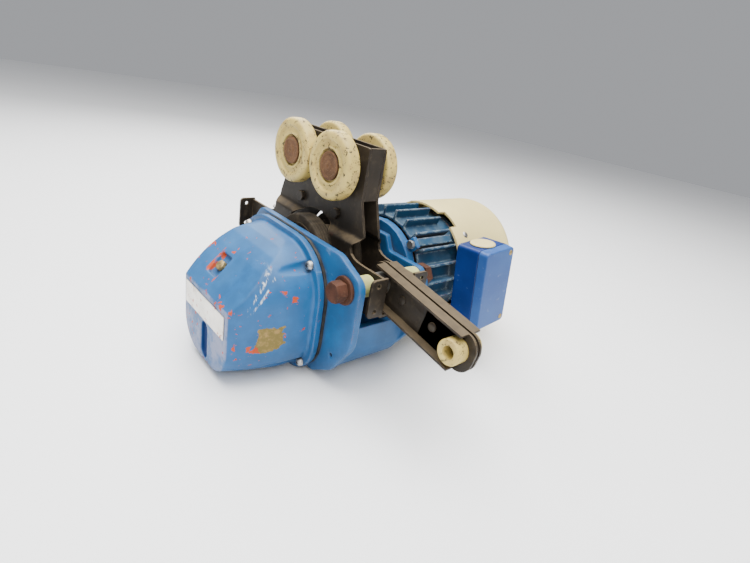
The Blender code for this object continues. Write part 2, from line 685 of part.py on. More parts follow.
def spring_coil(base, height):
    """A wound spring of round wire, standing on base."""
    bm = bmesh.new()
    per_turn = 10
    sides = 5
    count = per_turn * SPRING_TURNS
    middle = SPRING_RADIUS - SPRING_WIRE
    low = base + SPRING_WIRE
    rise = height - 2 * SPRING_WIRE
    loops = []
    for step in range(count + 1):
        angle = 2 * math.pi * step / per_turn
        centre = Vector((middle * math.cos(angle), middle * math.sin(angle), low + rise * step / count))
        outwards = Vector((math.cos(angle), math.sin(angle), 0))
        loop = []
        for k in range(sides):
            turn = 2 * math.pi * k / sides
            point = centre + outwards * (SPRING_WIRE * math.cos(turn))
            point.z += SPRING_WIRE * math.sin(turn)
            loop.append(bm.verts.new(point))
        loops.append(loop)
    for lower, upper in zip(loops, loops[1:]):
        for k in range(sides):
            after = (k + 1) % sides
            bm.faces.new((lower[k], lower[after], upper[after], upper[k]))
    bm.faces.new(loops[0])
    bm.faces.new(loops[-1])
    bmesh.ops.recalc_face_normals(bm, faces=bm.faces)
    return bm


def build_spring():
    """The spring over the rear floor plate, which draws the drive up to the rail."""
    base = FLOOR_TOP + FIT
    add_piece("suspension_spring", spring_coil(0.0, SPRING_HEIGHT), "bright_steel", "drive_unit",
              at=(0, SPRING_Y, base))
    upright = Matrix.Rotation(math.pi / 2, 3, "Y")
    cap = base + SPRING_HEIGHT + FIT
    seat = cap + 0.002
    tip = FRAME_BOTTOM - 0.014
    flange = SPRING_RADIUS + 0.001
    shape = loft([hex_ring(-seat - 0.006, 0.0075), hex_ring(-seat, 0.0075), round_ring(-seat, flange),
                  round_ring(-cap, flange), round_ring(-cap, SPRING_BOLT_RADIUS),
                  round_ring(-tip, SPRING_BOLT_RADIUS)])
    add_piece("spring_bolt", moved(shape, turn=upright), "bright_steel", "drive_unit", at=(0, SPRING_Y, 0))


# ================================================================ drive unit: gear cover
def cover_screw_places():
    """The cover's four screws, in its rim, half way round the corners."""
    places = []
    for end in (-1, 1):
        for radius, z, up in ((COVER_UPPER_RADIUS, COVER_TOP, 1), (COVER_LOWER_RADIUS, COVER_BOTTOM, -1)):
            reach = (radius - COVER_SCREW_INSET) * math.sqrt(0.5)
            centre_y = COVER_CENTRE_Y + end * (COVER_HALF_WIDTH - radius)
            places.append((centre_y + end * reach, z - up * radius + up * reach))
    return places


def cover_ring(x, centre, half_width, bottom, top, upper, lower):
    """One YZ section of the hood: a box with large upper and lower corner radii."""
    corners = [(centre - half_width, bottom, lower), (centre + half_width, bottom, lower),
               (centre + half_width, top, upper), (centre - half_width, top, upper)]
    return [(x, y, z) for y, z in filleted(corners, 5)]


def hood(inset, rim, nose_x):
    """The hood's body from its rim to its nose, each wall moved in by inset."""
    rings = []
    sections = ((0.0, 1.0, 0.029, -0.116, 0.055, 0.045), (0.35, 0.95, 0.025, -0.1155, 0.053, 0.044),
                (0.75, 0.78, 0.014, -0.114, 0.046, 0.040), (1.0, 0.64, 0.004, -0.111, 0.036, 0.035))
    start_half = COVER_HALF_WIDTH - COVER_RIM
    for share, wide, top, bottom, upper, lower in sections:
        x = rim + (nose_x - rim) * share
        centre = COVER_CENTRE_Y + (COVER_NOSE_Y - COVER_CENTRE_Y) * share
        half = max(COVER_NOSE_HALF_WIDTH, start_half * wide) - inset
        rings.append(cover_ring(x, centre, half, bottom + inset, top - inset,
                                upper - inset, lower - inset))
    return loft(rings)


def sliced(bm, place, normal):
    """The mesh with all that lies beyond a plane taken off, and closed again."""
    geometry = bm.verts[:] + bm.edges[:] + bm.faces[:]
    result = bmesh.ops.bisect_plane(bm, geom=geometry, plane_co=place, plane_no=normal, dist=1e-7,
                                    clear_outer=True)
    edges = [item for item in result["geom_cut"] if isinstance(item, bmesh.types.BMEdge)]
    bmesh.ops.edgenet_fill(bm, edges=edges)
    bmesh.ops.recalc_face_normals(bm, faces=bm.faces)
    return bm


def slope_place(offset):
    """A point on the hood's sloped face, or on a plane that lies offset below it."""
    return Vector((COVER_NOSE_X, 0, COVER_SLOPE_Z)) - SLOPE_NORMAL * offset


SLOPE_NORMAL = Vector((-1, 0, 1)).normalized()
RECESS_CENTRE = (COVER_NOSE_X + 0.022, COVER_NOSE_Y + 0.017, COVER_SLOPE_Z + 0.022)


def recess_cutter(half_long, half_wide, depth):
    """A slanted pocket sunk into the sloped face."""
    along = Vector((1, 0, 1)).normalized()
    across = Vector((0, 1, 0))
    centre = Vector(RECESS_CENTRE)
    corners = [along * half_long + across * half_wide, along * half_long - across * half_wide * 0.9,
               -along * half_long - across * half_wide, -along * half_long + across * half_wide * 0.7]
    rings = []
    for level in (0.004, -depth):
        rings.append([centre + corner + SLOPE_NORMAL * level for corner in corners])
    return loft(rings)


def build_cover():
    rim_in = RIM_X
    rim_out = RIM_X - COVER_RIM
    half = COVER_HALF_WIDTH
    rim_ring = [(y, z) for x, y, z in cover_ring(0, COVER_CENTRE_Y, half, COVER_BOTTOM, COVER_TOP,
                                                 COVER_UPPER_RADIUS, COVER_LOWER_RADIUS)]
    rim = prism(rim_ring, rim_out, rim_in)
    body = sliced(hood(0.0, rim_out + 0.001, COVER_NOSE_X), slope_place(0.0), SLOPE_NORMAL)
    hollow = sliced(hood(COVER_WALL, rim_in + 0.002, COVER_NOSE_X + 0.011), slope_place(0.008), SLOPE_NORMAL)
    slot = [(y, z) for y, z in arc(COVER_NOSE_Y, -0.071, 0.006, 0, 180, 8)]
    slot += arc(COVER_NOSE_Y, -0.103, 0.006, 180, 360, 8)
    pockets = []
    for y, z in cover_screw_places():
        pockets.append(moved(rod(COVER_NOSE_X, rim_out, 0.0075, 20), y=y, z=z))
        pockets.append(moved(rod(rim_out - 0.01, rim_in + 0.01, 0.0025, 12), y=y, z=z))
    cut = [hollow, prism(slot, COVER_NOSE_X - 0.01, COVER_NOSE_X + 0.007)]
    cut.append(recess_cutter(0.013, 0.0115, RECESS_DEPTH))
    add_piece("gear_cover", rim, "paint", "drive_unit", joined=[body], cut=cut + pockets)

    band = 0.014
    inner_ring = cover_ring(0, COVER_CENTRE_Y, half - band, COVER_BOTTOM + band, COVER_TOP - band,
                            COVER_UPPER_RADIUS - band, COVER_LOWER_RADIUS - band)
    inner = [(y, z) for x, y, z in inner_ring]
    gasket_x0 = -HOUSING_OUTER_X - GASKET
    add_piece("cover_gasket", prism(rim_ring, gasket_x0, -HOUSING_OUTER_X - FIT), "gasket", "drive_unit",
              cut=[prism(inner, gasket_x0 - 0.01, -HOUSING_OUTER_X + 0.01)]
              + [moved(rod(gasket_x0 - 0.01, -HOUSING_OUTER_X + 0.01, 0.0025, 12), y=y, z=z)
                 for y, z in cover_screw_places()])
    for number, (y, z) in enumerate(cover_screw_places(), 1):
        shape = screw(rim_out - FIT - 0.005, rim_out - FIT, -HOUSING_INNER_X - 0.001, 0.0052, 0.0022)
        add_piece("cover_screw_%d" % number, shape, "dark_steel", "drive_unit", at=(0, y, z))

    plug_seat = Vector(RECESS_CENTRE) - SLOPE_NORMAL * (RECESS_DEPTH - FIT)
    lean = SLOPE_NORMAL.to_track_quat("X", "Z").to_matrix()
    add_piece("oil_plug", loft([hex_ring(0, 0.0062), hex_ring(0.004, 0.0062), round_ring(0.0042, 0.0045),
                                round_ring(0.0055, 0.004)]), "brass", "drive_unit",
              at=plug_seat, turn=lean)

    face = COVER_NOSE_X - FIT
    label = [(COVER_NOSE_Y - 0.047, -0.0615), (COVER_NOSE_Y + 0.047, -0.0615),
             (COVER_NOSE_Y + 0.047, -0.0350), (COVER_NOSE_Y - 0.047, -0.0350)]
    add_piece("blank_label", prism(label, face - 0.0008, face), "label_metal", "drive_unit")


# ================================================================ gear train
def build_gears():
    wheel = (0, 0, WHEEL_Z)
    lay = (0, 0, LAY_Z)
    motor = (0, MOTOR_Y, MOTOR_Z)
    to_motor = math.atan2(MOTOR_Z - WHEEL_Z, MOTOR_Y)
    down = -math.pi / 2
    add_body("drive_wheel", wheel, "drive_unit")
    add_body("cross_shaft", wheel, "drive_unit")
    add_body("layshaft", lay, "drive_unit")
    add_body("rotor", motor, "drive_unit")

    hub_end = OUTPUT_GEAR_X - 0.0047
    right = HOUSING_OUTER_X
    rim = WHEEL_RADIUS - TYRE_THICKNESS - FIT
    face = TYRE_OUTER_X + FIT
    groove = TYRE_INNER_X - 0.0014
    profile = [(hub_end, HUB_BORE), (hub_end, HUB_RADIUS), (-0.0375, HUB_RADIUS), (-0.0375, 0.022),
               (-face, 0.022), (-face, rim), (-groove, rim), (-groove, rim - 0.006),
               (groove, rim - 0.006), (groove, rim), (face, rim), (face, 0.022), (0.0375, 0.022),
               (0.0375, HUB_RADIUS), (right, HUB_RADIUS), (right, HUB_BORE)]
    add_piece("friction_wheel_hub", turned(profile, 24), "dark_steel", "drive_wheel", at=wheel)
    for side, word in ((-1, "left"), (1, "right")):
        x0, x1 = sorted((side * TYRE_INNER_X, side * TYRE_OUTER_X))
        tyre = ring(x0, x1, rim + FIT, WHEEL_RADIUS, 24, 0.0018)
        add_piece("friction_tyre_" + word, tyre, "rubber", "drive_wheel", at=wheel)
    blank, bore = gear(OUTPUT_GEAR_TEETH, OUTPUT_GEAR_X, GEAR_WIDTH, HUB_RADIUS + FIT, down)
    add_piece("output_gear", blank, "bright_steel", "drive_wheel", at=wheel, cut=[bore])

    shoulder = LAY_GEAR_X + GEAR_WIDTH + FIT
    profile = [(BRIDGE_X, 0), (BRIDGE_X, PINION_SEAT_RADIUS), (shoulder, PINION_SEAT_RADIUS),
               (shoulder, CROSS_SHAFT_RADIUS), (FIRST_GEAR_X + FIRST_GEAR_WIDTH, CROSS_SHAFT_RADIUS),
               (FIRST_GEAR_X + FIRST_GEAR_WIDTH, 0)]
    pinion = prism(gear_outline(CROSS_PINION_TEETH, down), LAY_GEAR_X, LAY_GEAR_X + GEAR_WIDTH)
    add_piece("cross_shaft", turned(profile, 20), "bright_steel", "cross_shaft", at=wheel, joined=[pinion])
    blank, bore = gear(FIRST_GEAR_TEETH, FIRST_GEAR_X, FIRST_GEAR_WIDTH, CROSS_SHAFT_RADIUS + FIT, to_motor)
    add_piece("first_gear", blank, "bright_steel", "cross_shaft", at=wheel, cut=[bore])

    end = -HOUSING_INNER_X
    pinion = prism(gear_outline(LAY_PINION_TEETH, -down, True), OUTPUT_GEAR_X, OUTPUT_GEAR_X + GEAR_WIDTH)
    add_piece("layshaft", rod(BRIDGE_X, end, LAYSHAFT_RADIUS, 20), "bright_steel", "layshaft", at=lay,
              joined=[pinion])
    blank, bore = gear(LAY_GEAR_TEETH, LAY_GEAR_X, GEAR_WIDTH, LAYSHAFT_RADIUS + FIT, -down, True)
    add_piece("lay_gear", blank, "bright_steel", "layshaft", at=lay, cut=[bore])

    bridge_in = BRIDGE_X + BRIDGE_THICKNESS
    middle = (WHEEL_Z + LAY_Z) / 2
    reach = 0.040
    outline = filleted([(0, WHEEL_Z + 0.018, 0.010), (-reach - 0.009, middle, 0.006),
                        (0, LAY_Z - 0.018, 0.010), (reach + 0.009, middle, 0.006)])
    legs = [moved(rod(bridge_in - 0.001, -HOUSING_OUTER_X - FIT, 0.0045, 16), y=y, z=middle)
            for y in (-reach, reach)]
    bores = [moved(rod(BRIDGE_X - 0.01, bridge_in + 0.005, radius + RUN, 20), z=z)
             for radius, z in ((PINION_SEAT_RADIUS, WHEEL_Z), (LAYSHAFT_RADIUS, LAY_Z))]
    add_piece("gear_bridge", prism(outline, BRIDGE_X, bridge_in), "dark_steel", "drive_unit",
              joined=legs, cut=bores)


# ================================================================ motor
def box_turn():
    return Matrix.Rotation(BOX_TURN, 3, "Y") @ Matrix.Rotation(BOX_LEAN, 3, "X")


def box_room(y, z, behind=FIT):
    """The space that the terminal box needs, in axes shifted by y and z."""
    solid = box_shell(-0.02, BOX_DEPTH + behind, 0.0, -0.0012)
    return moved(solid, x=BOX_X, y=BOX_Y + y, z=BOX_Z + z, turn=box_turn())


def boss_angles():
    return [45, 135, 225, 315]


def frame_outline():
    """The motor frame's outside: fins all round, with flat bosses for the screws."""
    outline = []
    pitch = 360 / FIN_COUNT
    half = math.degrees(FIN_THICKNESS / 2 / FIN_RADIUS)
    for fin in range(FIN_COUNT):
        middle = (fin + 0.5) * pitch
        boss = any(abs(middle - pitch / 2 - angle) < 0.1 for angle in boss_angles())
        if boss:
            width = pitch * 0.30
            reach = FIN_RADIUS - 0.003
            spots = ((FRAME_RADIUS, middle - pitch / 2 - width), (reach, middle - pitch / 2 - width * 0.8),
                     (reach, middle - pitch / 2 + width * 0.8), (FRAME_RADIUS, middle - pitch / 2 + width))
            outline += [(r * math.cos(math.radians(a)), r * math.sin(math.radians(a))) for r, a in spots]
        spots = ((FRAME_RADIUS, middle - half * 1.4), (FIN_RADIUS, middle - half),
                 (FIN_RADIUS, middle + half), (FRAME_RADIUS, middle + half * 1.4))
        outline += [(r * math.cos(math.radians(a)), r * math.sin(math.radians(a))) for r, a in spots]
    return outline


def slots_round(radius, x0, x1):
    """Six bars along X, evenly round the motor's axis, for the stator's slots."""
    return [moved(moved(rod(x0, x1, radius, 6), z=0.0515), turn=Matrix.Rotation(math.pi * k / 3, 3, "X"))
            for k in range(6)]


def lugs(x0, x1, inner, outer, half_width):
    """Four radial lugs, at the angles of the frame's bosses."""
    made = []
    for angle in boss_angles():
        lug = block(x0, x1, inner, outer, -half_width, half_width)
        made.append(moved(lug, turn=Matrix.Rotation(math.radians(angle), 3, "X")))
    return made


def build_motor():
    axis = (0, MOTOR_Y, MOTOR_Z)
    inner = FRAME_RADIUS - FRAME_TUBE_WALL
    start = MOTOR_START_X
    tube = prism(frame_outline(), start, FIN_END_X)
    sleeve = ring(FIN_END_X - 0.001, MOTOR_END_X, inner - 0.002, FRAME_RADIUS, 36)
    room = box_room(-MOTOR_Y, -MOTOR_Z)
    neck = block(BOX_X + 0.007, MOTOR_END_X - 0.002, BOX_Y + 0.020 - MOTOR_Y, 0.010 - FRAME_RADIUS,
                 -0.016, 0.028)
    cable_way = moved(rod(BOX_Y - MOTOR_Y, 0, 0.008, 12), x=MOTOR_END_X - 0.013, z=0.006,
                      turn=Matrix.Rotation(math.pi / 2, 3, "Z"))
    add_piece("motor_frame", tube, "motor_paint", "drive_unit", at=axis, joined=[sleeve, neck],
              cut=[rod(start - 0.01, MOTOR_END_X + 0.01, inner, 36), room, cable_way])

    plate_x0 = HOUSING_OUTER_X + FIT
    plate_x1 = start - FIT
    boss_end = start + 0.0105
    disc = turned([(plate_x0, 0), (plate_x0, 0.0655), (plate_x1, 0.0655), (plate_x1, 0.024),
                   (boss_end, 0.024), (boss_end, MOTOR_BEARING_RADIUS + FIT),
                   (plate_x1, MOTOR_BEARING_RADIUS + FIT), (plate_x1, 0)], 28)
    to_wheel = (-MOTOR_Y, WHEEL_Z - MOTOR_Z)
    gear_room = FIRST_GEAR_TEETH * MODULE / 2 + MODULE + 0.0015
    lobe = moved(rod(plate_x0, plate_x1, gear_room + 0.005, 28), y=to_wheel[0], z=to_wheel[1])
    ears = lugs(start - 0.006, plate_x1, 0.060, 0.0795, 0.007)
    pinion_room = MOTOR_PINION_TEETH * MODULE / 2 + MODULE + 0.0015
    cavity_end = FIRST_GEAR_X + FIRST_GEAR_WIDTH + 0.0012
    cavity = [moved(rod(plate_x0 - 0.005, cavity_end, gear_room, 20), y=to_wheel[0], z=to_wheel[1]),
              rod(plate_x0 - 0.005, cavity_end, pinion_room, 16),
              rod(plate_x0 - 0.010, boss_end + 0.010, SHAFT_RADIUS + RUN, 20)]
    add_piece("motor_end_shield_front", disc, "paint", "drive_unit", at=axis, joined=[lobe] + ears,
              cut=cavity)

    gap = SHAFT_RADIUS + FIT
    core_end = CORE_START_X + CORE_LENGTH
    bore = ROTOR_RADIUS + AIR_GAP
    add_piece("stator_core", ring(CORE_START_X, core_end, bore, inner - RUN, 32), "dark_steel",
              "drive_unit", at=axis, cut=slots_round(SLOT_RADIUS, CORE_START_X - 0.01, core_end + 0.01))
    heads = [ring(x0, x1, 0.043, 0.060)
             for x0, x1 in ((CORE_START_X - 0.011, CORE_START_X - FIT), (core_end + FIT, core_end + 0.011))]
    bars = slots_round(SLOT_RADIUS - FIT, CORE_START_X - 0.005, core_end + 0.005)
    add_piece("stator_windings", heads[0], "copper", "drive_unit", at=axis, joined=[heads[1]] + bars)

    rear_x0 = MOTOR_END_X + FIT
    rear_x1 = MOTOR_END_X + 0.008
    boss = MOTOR_END_X - 0.0045
    seat = MOTOR_BEARING_RADIUS + FIT
    lip = rear_x1 - 0.0025
    profile = [(rear_x1, SHAFT_RADIUS + RUN), (rear_x1, FRAME_RADIUS), (rear_x0, FRAME_RADIUS),
               (rear_x0, 0.024), (boss, 0.024), (boss, seat), (lip, seat), (lip, SHAFT_RADIUS + RUN)]
    cover_in = (FAN_COVER_RADIUS - FAN_COVER_WALL) * math.cos(math.pi / 32) - 2 * FIT
    cover_ears = lugs(rear_x0 + FIT, rear_x1 - FIT, FRAME_RADIUS - 0.004, cover_in, 0.006)
    add_piece("motor_end_shield_rear", turned(profile, 28), "motor_paint", "drive_unit", at=axis,
              joined=cover_ears)
    for x0, x1, word in ((start, boss_end, "front"), (boss, lip, "rear")):
        add_piece("motor_bearing_" + word, ring(x0 + FIT, x1 - FIT, gap, MOTOR_BEARING_RADIUS, 20),
                  "bright_steel", "drive_unit", at=axis)
    build_rotor(axis, gap)
    build_fan_cover(axis)


def build_rotor(axis, gap):
    tip = FIRST_GEAR_X - 0.001
    shoulder = FIRST_GEAR_X + FIRST_GEAR_WIDTH + FIT
    end = FAN_X + FAN_WIDTH + 0.004
    profile = [(tip, 0), (tip, PINION_SEAT_RADIUS), (shoulder, PINION_SEAT_RADIUS), (shoulder, SHAFT_RADIUS),
               (end, SHAFT_RADIUS), (end, 0)]
    to_wheel = math.atan2(WHEEL_Z - MOTOR_Z, -MOTOR_Y)
    pinion = prism(gear_outline(MOTOR_PINION_TEETH, to_wheel, True), FIRST_GEAR_X,
                   FIRST_GEAR_X + FIRST_GEAR_WIDTH)
    add_piece("rotor_shaft", turned(profile, 20), "bright_steel", "rotor", at=axis, joined=[pinion])
    add_piece("rotor_core", ring(CORE_START_X, CORE_START_X + CORE_LENGTH, gap, ROTOR_RADIUS, 24),
              "dark_steel", "rotor", at=axis)
    blades = []
    for k in range(6):
        blade = block(FAN_X + 0.002, FAN_X + FAN_WIDTH, 0.014, 0.070, -0.0012, 0.0012)
        blades.append(moved(blade, turn=Matrix.Rotation(math.pi * k / 3, 3, "X")))
    hub = turned([(FAN_X, gap), (FAN_X, 0.064), (FAN_X + 0.003, 0.064), (FAN_X + 0.003, 0.016),
                  (FAN_X + FAN_WIDTH, 0.016), (FAN_X + FAN_WIDTH, gap)], 20)
    add_piece("cooling_fan", hub, "rubber", "rotor", at=axis, joined=blades)


def dome_profile(start, radius, dome_x, end):
    """A straight wall that closes in a quarter ellipse at its far end."""
    points = [(start, radius)]
    for step in range(DOME_STEPS + 1):
        angle = math.radians(90 * step / DOME_STEPS)
        points.append((dome_x + (end - dome_x) * math.sin(angle), radius * math.cos(angle)))
    points[-1] = (end, 0.0)
    return points


def build_fan_cover(axis):
    radius = FAN_COVER_RADIUS
    wall = FAN_COVER_WALL
    start = FAN_COVER_START_X
    outside = dome_profile(start, radius, FAN_COVER_DOME_X, FAN_COVER_END_X)
    inside = dome_profile(start, radius - wall, FAN_COVER_DOME_X, FAN_COVER_END_X - wall)
    shell = turned(outside + inside[::-1], 32)
    cut = [box_room(-MOTOR_Y, -MOTOR_Z, 0.010)]
    for low, high in ((108, 126), (288, 306), (54, 72)):
        wedge = [(0, 0)] + arc(0, 0, 2 * radius, low, high, 3)
        cut.append(prism(wedge, start - 0.01, start + 0.012))
    for k in range(6):
        slot = block(FAN_COVER_DOME_X, FAN_COVER_END_X + 0.01, 0.018, 0.058, -0.003, 0.003)
        cut.append(moved(slot, turn=Matrix.Rotation(math.pi * (k + 0.5) / 3, 3, "X")))
    add_piece("fan_cover", shell, "cream", "drive_unit", at=axis, cut=cut)


# ================================================================ terminal box
def box_shell(y0, y1, draft, wall):
    """The box section from y0 to y1, in its own axes, narrowing by draft towards the lid."""
    rings = []
    for y, share in ((y0, 1.0), (y1, 0.0)):
        shrink = draft * share + wall
        outline = filleted([(shrink, -shrink, 0.005), (BOX_WIDTH - shrink, -shrink, 0.005),
                            (BOX_WIDTH - shrink, -BOX_HEIGHT + shrink, 0.005),
                            (shrink, -BOX_HEIGHT + shrink, 0.005)], 3)
        rings.append([(x, y, z) for x, z in outline])
    return loft(rings)


def build_terminal_box():
    turn = box_turn()
    at = (BOX_X, BOX_Y, BOX_Z)
    seam = BOX_LID
    depth = BOX_DEPTH
    along_y = Matrix.Rotation(math.pi / 2, 3, "Z")
    plug_spot = (BOX_WIDTH * 0.44, depth * 0.58)
    upright = Matrix.Rotation(math.pi / 2, 3, "Y")
    plug_hole_radius = 0.010
    plug_hole = moved(rod(-0.02, 0.02, plug_hole_radius, 24), x=plug_spot[0], y=plug_spot[1], turn=upright)
    cable_hole = moved(rod(depth - 0.02, depth + 0.02, 0.009, 20), x=BOX_WIDTH / 2, z=-BOX_HEIGHT / 2,
                       turn=along_y)
    hollow = box_shell(seam - 0.01, depth - BOX_WALL, 0.0, BOX_WALL)
    shell = box_shell(seam + FIT, depth, 0.0, 0.0)
    add_piece("terminal_box", shell, "box_blue", "drive_unit", at=at, turn=turn,
              cut=[hollow, plug_hole, cable_hole])
    lid = box_shell(0.0, seam, 0.0012, 0.0)
    lid_hollow = box_shell(0.004, seam + 0.01, 0.0, BOX_WALL + 0.002)
    add_piece("terminal_box_lid", lid, "box_blue", "drive_unit", at=at, turn=turn, cut=[lid_hollow])
    neck = plug_hole_radius - FIT
    cap = [(-0.0030, 0), (-0.0030, PLUG_RADIUS - 0.002), (-0.0018, PLUG_RADIUS), (-FIT, PLUG_RADIUS),
           (-FIT, neck), (0.009, neck), (0.009, 0)]
    plug = moved(turned(cap, 28), x=plug_spot[0], y=plug_spot[1], turn=upright)
    add_piece("cable_entry_plug", plug, "cream", "drive_unit", at=at, turn=turn)
    strip = block(BOX_WIDTH / 2 - 0.014, BOX_WIDTH / 2 + 0.014, seam + 0.006, depth - BOX_WALL - FIT,
                  -BOX_HEIGHT * 0.75, -BOX_HEIGHT * 0.62)
    add_piece("terminal_strip", strip, "nylon", "drive_unit", at=at, turn=turn)


# ================================================================ assembly
def centre_on_base():
    """Shift the whole part so that its origin lies under its middle, at its lowest point."""
    graph = bpy.context.evaluated_depsgraph_get()
    low = Vector((math.inf,) * 3)
    high = Vector((-math.inf,) * 3)
    for thing in bpy.context.scene.objects:
        if thing.type != "MESH" or thing.hide_render:
            continue
        evaluated = thing.evaluated_get(graph)
        for vert in evaluated.data.vertices:
            point = evaluated.matrix_world @ vert.co
            low = Vector(map(min, low, point))
            high = Vector(map(max, high, point))
    BODIES["drive_unit"][0].location -= Vector(((low.x + high.x) / 2, (low.y + high.y) / 2, low.z))


def main():
    clear_scene()
    add_body("drive_unit", (0, 0, 0))
    add_body("trolley", (0, PIVOT_Y, PIVOT_Z), "drive_unit")
    add_body("arm", (0, PIVOT_Y, PIVOT_Z), "trolley")
    build_trolley()
    build_rollers()
    build_arm()
    build_housing()
    build_pivot()
    build_spring()
    build_cover()
    build_gears()
    build_motor()
    build_terminal_box()
    centre_on_base()


main()
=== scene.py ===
"""The looks of a motor-driven hoist trolley: worn castings, sheet frame, nylon wheels and a finned motor."""

import json
import math

import bmesh
import bpy
from bpy.props import FloatProperty, FloatVectorProperty, IntProperty, PointerProperty
from bpy.types import Operator, Panel, PropertyGroup
from mathutils import Matrix, Vector

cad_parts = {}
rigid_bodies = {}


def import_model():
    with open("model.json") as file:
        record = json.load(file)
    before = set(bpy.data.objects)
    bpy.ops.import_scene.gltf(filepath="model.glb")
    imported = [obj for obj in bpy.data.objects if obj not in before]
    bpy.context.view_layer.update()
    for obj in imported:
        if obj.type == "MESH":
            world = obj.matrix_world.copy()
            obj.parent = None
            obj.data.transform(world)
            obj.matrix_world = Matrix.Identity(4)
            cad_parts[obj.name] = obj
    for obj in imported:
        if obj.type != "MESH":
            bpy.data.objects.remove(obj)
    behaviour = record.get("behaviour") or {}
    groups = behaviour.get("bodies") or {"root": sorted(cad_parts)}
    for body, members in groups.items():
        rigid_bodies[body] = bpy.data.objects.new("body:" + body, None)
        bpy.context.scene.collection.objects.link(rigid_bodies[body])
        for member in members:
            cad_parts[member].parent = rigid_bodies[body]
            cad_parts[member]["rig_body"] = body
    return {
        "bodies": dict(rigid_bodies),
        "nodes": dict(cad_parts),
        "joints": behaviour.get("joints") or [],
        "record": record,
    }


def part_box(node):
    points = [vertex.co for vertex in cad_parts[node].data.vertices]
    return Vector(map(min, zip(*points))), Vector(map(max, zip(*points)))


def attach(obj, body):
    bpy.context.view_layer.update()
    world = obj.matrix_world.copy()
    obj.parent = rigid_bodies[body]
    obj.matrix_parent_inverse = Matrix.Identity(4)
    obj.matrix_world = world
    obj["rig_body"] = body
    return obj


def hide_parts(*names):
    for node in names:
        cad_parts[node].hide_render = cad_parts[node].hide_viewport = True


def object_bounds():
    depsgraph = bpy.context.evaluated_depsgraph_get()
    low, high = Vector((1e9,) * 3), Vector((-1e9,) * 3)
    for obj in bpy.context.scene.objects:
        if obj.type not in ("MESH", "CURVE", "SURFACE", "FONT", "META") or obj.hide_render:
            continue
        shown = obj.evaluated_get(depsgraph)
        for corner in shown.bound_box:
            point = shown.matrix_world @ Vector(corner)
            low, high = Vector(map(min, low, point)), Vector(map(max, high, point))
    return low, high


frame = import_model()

bl_info = {
    "name": "Hoist trolley looks",
    "version": (1, 0, 0),
    "blender": (4, 5, 0),
    "location": "View3D > Sidebar > Hoist",
    "description": "Builds the finished surfaces of a motor-driven hoist trolley round its packed frame",
    "category": "Object",
}

CAD_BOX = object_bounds()
START_OBJECTS = set(bpy.data.objects)


def joint_place(name):
    """Where a joint's axis lies, from the frame."""
    return Vector(next(joint["pos_m"] for joint in frame["joints"] if joint["name"] == name))


# ---------------------------------------------------------------- places read from the frame
PIVOT_RISE = 0.004      # how far the pivot lies above the height that outlines are drawn from
PIVOT = joint_place("trolley_tilt")
WHEEL_AXIS = joint_place("drive_wheel_spin")
MOTOR_AXIS = joint_place("rotor_spin")
MIDDLE = Vector((WHEEL_AXIS.x, WHEEL_AXIS.y, PIVOT.z - PIVOT_RISE))


# ================================================================ what a user can change
def length(name, words, default):
    """A size that a user can set."""
    return FloatProperty(name=name, description=words, default=default, min=0.0, unit="LENGTH")


def colour(name, words, default):
    """A colour that a user can set."""
    return FloatVectorProperty(name=name, description=words, default=default, size=3, min=0.0, max=1.0,
                               subtype="COLOR")


class HoistSizes(PropertyGroup):
    """Sizes of the details that the frame doesn't give."""

    sheet_edge: length("Sheet edge", "Rounding of the edges of bent sheet and bolts", 0.0005)
    casting_grain: length("Casting grain", "Size of the mesh that softens a casting's edges", 0.0012)
    fin_grain: length("Fin grain", "Size of the mesh that softens the motor's fins", 0.0009)
    plate: length("Sheet thickness", "Thickness of the trolley's sheet", 0.003)
    arm_sheet: length("Arm sheet", "Thickness of the arm's channels", 0.0025)
    wear: length("Wear width", "How far paint is worn back from an edge", 0.0022)
    round_steps: IntProperty(name="Round steps", description="Faces round a turned piece", default=96, min=24)
    key_light: FloatProperty(name="Key light", description="Power of the large soft light", default=90.0,
                             unit="POWER")
    lens: FloatProperty(name="Lens", description="Focal length of the camera in millimetres", default=21.82,
                        unit="CAMERA")
    distance: length("Camera distance", "How far the camera stands from what it looks at", 0.5)
    azimuth: FloatProperty(name="Azimuth", description="Where the camera stands round the hoist",
                           default=math.radians(-45.56), subtype="ANGLE")
    elevation: FloatProperty(name="Elevation", description="How high the camera looks from",
                             default=math.radians(23.6), subtype="ANGLE")
    roll: FloatProperty(name="Roll", description="How far the camera is turned about its view",
                        default=math.radians(10.8), subtype="ANGLE")


class HoistColours(PropertyGroup):
    """Colours of the finishes."""

    casting: colour("Casting blue", "Paint of the gear cover and the housing", (0.012, 0.082, 0.215))
    motor: colour("Motor blue", "Paint of the motor", (0.008, 0.038, 0.078))
    primer: colour("Primer", "Red primer under chipped paint", (0.40, 0.055, 0.018))
    box: colour("Terminal box blue", "Moulded terminal box", (0.004, 0.024, 0.135))
    cream: colour("Fan cover cream", "Paint of the fan cover", (0.68, 0.56, 0.24))
    nylon: colour("Nylon", "Aged nylon of the wheels", (0.50, 0.38, 0.115))
    # Dark dirt colour: the nylon's specks use it as dirt, and most finishes use it for painted shade in their
    # corners.
    dirt: colour("Dirt", "Dark greasy dirt", (0.10, 0.075, 0.045))
    frame_steel: colour("Frame steel", "Oily sheet steel", (0.016, 0.012, 0.008))
    dust: colour("Dust", "Tan dust on steel", (0.120, 0.088, 0.050))
    rust: colour("Rust", "Rusty bolt heads", (0.050, 0.018, 0.009))
    spacer: colour("Spacer", "Pale yellow-green plastic", (0.42, 0.41, 0.16))
    bare: colour("Bare metal", "Turned steel", (0.42, 0.41, 0.39))
    scraped: colour("Scraped patch", "Yellowed patch where paint was scraped off", (0.155, 0.115, 0.026))
    label: colour("Label", "Blank plate", (0.78, 0.75, 0.68))


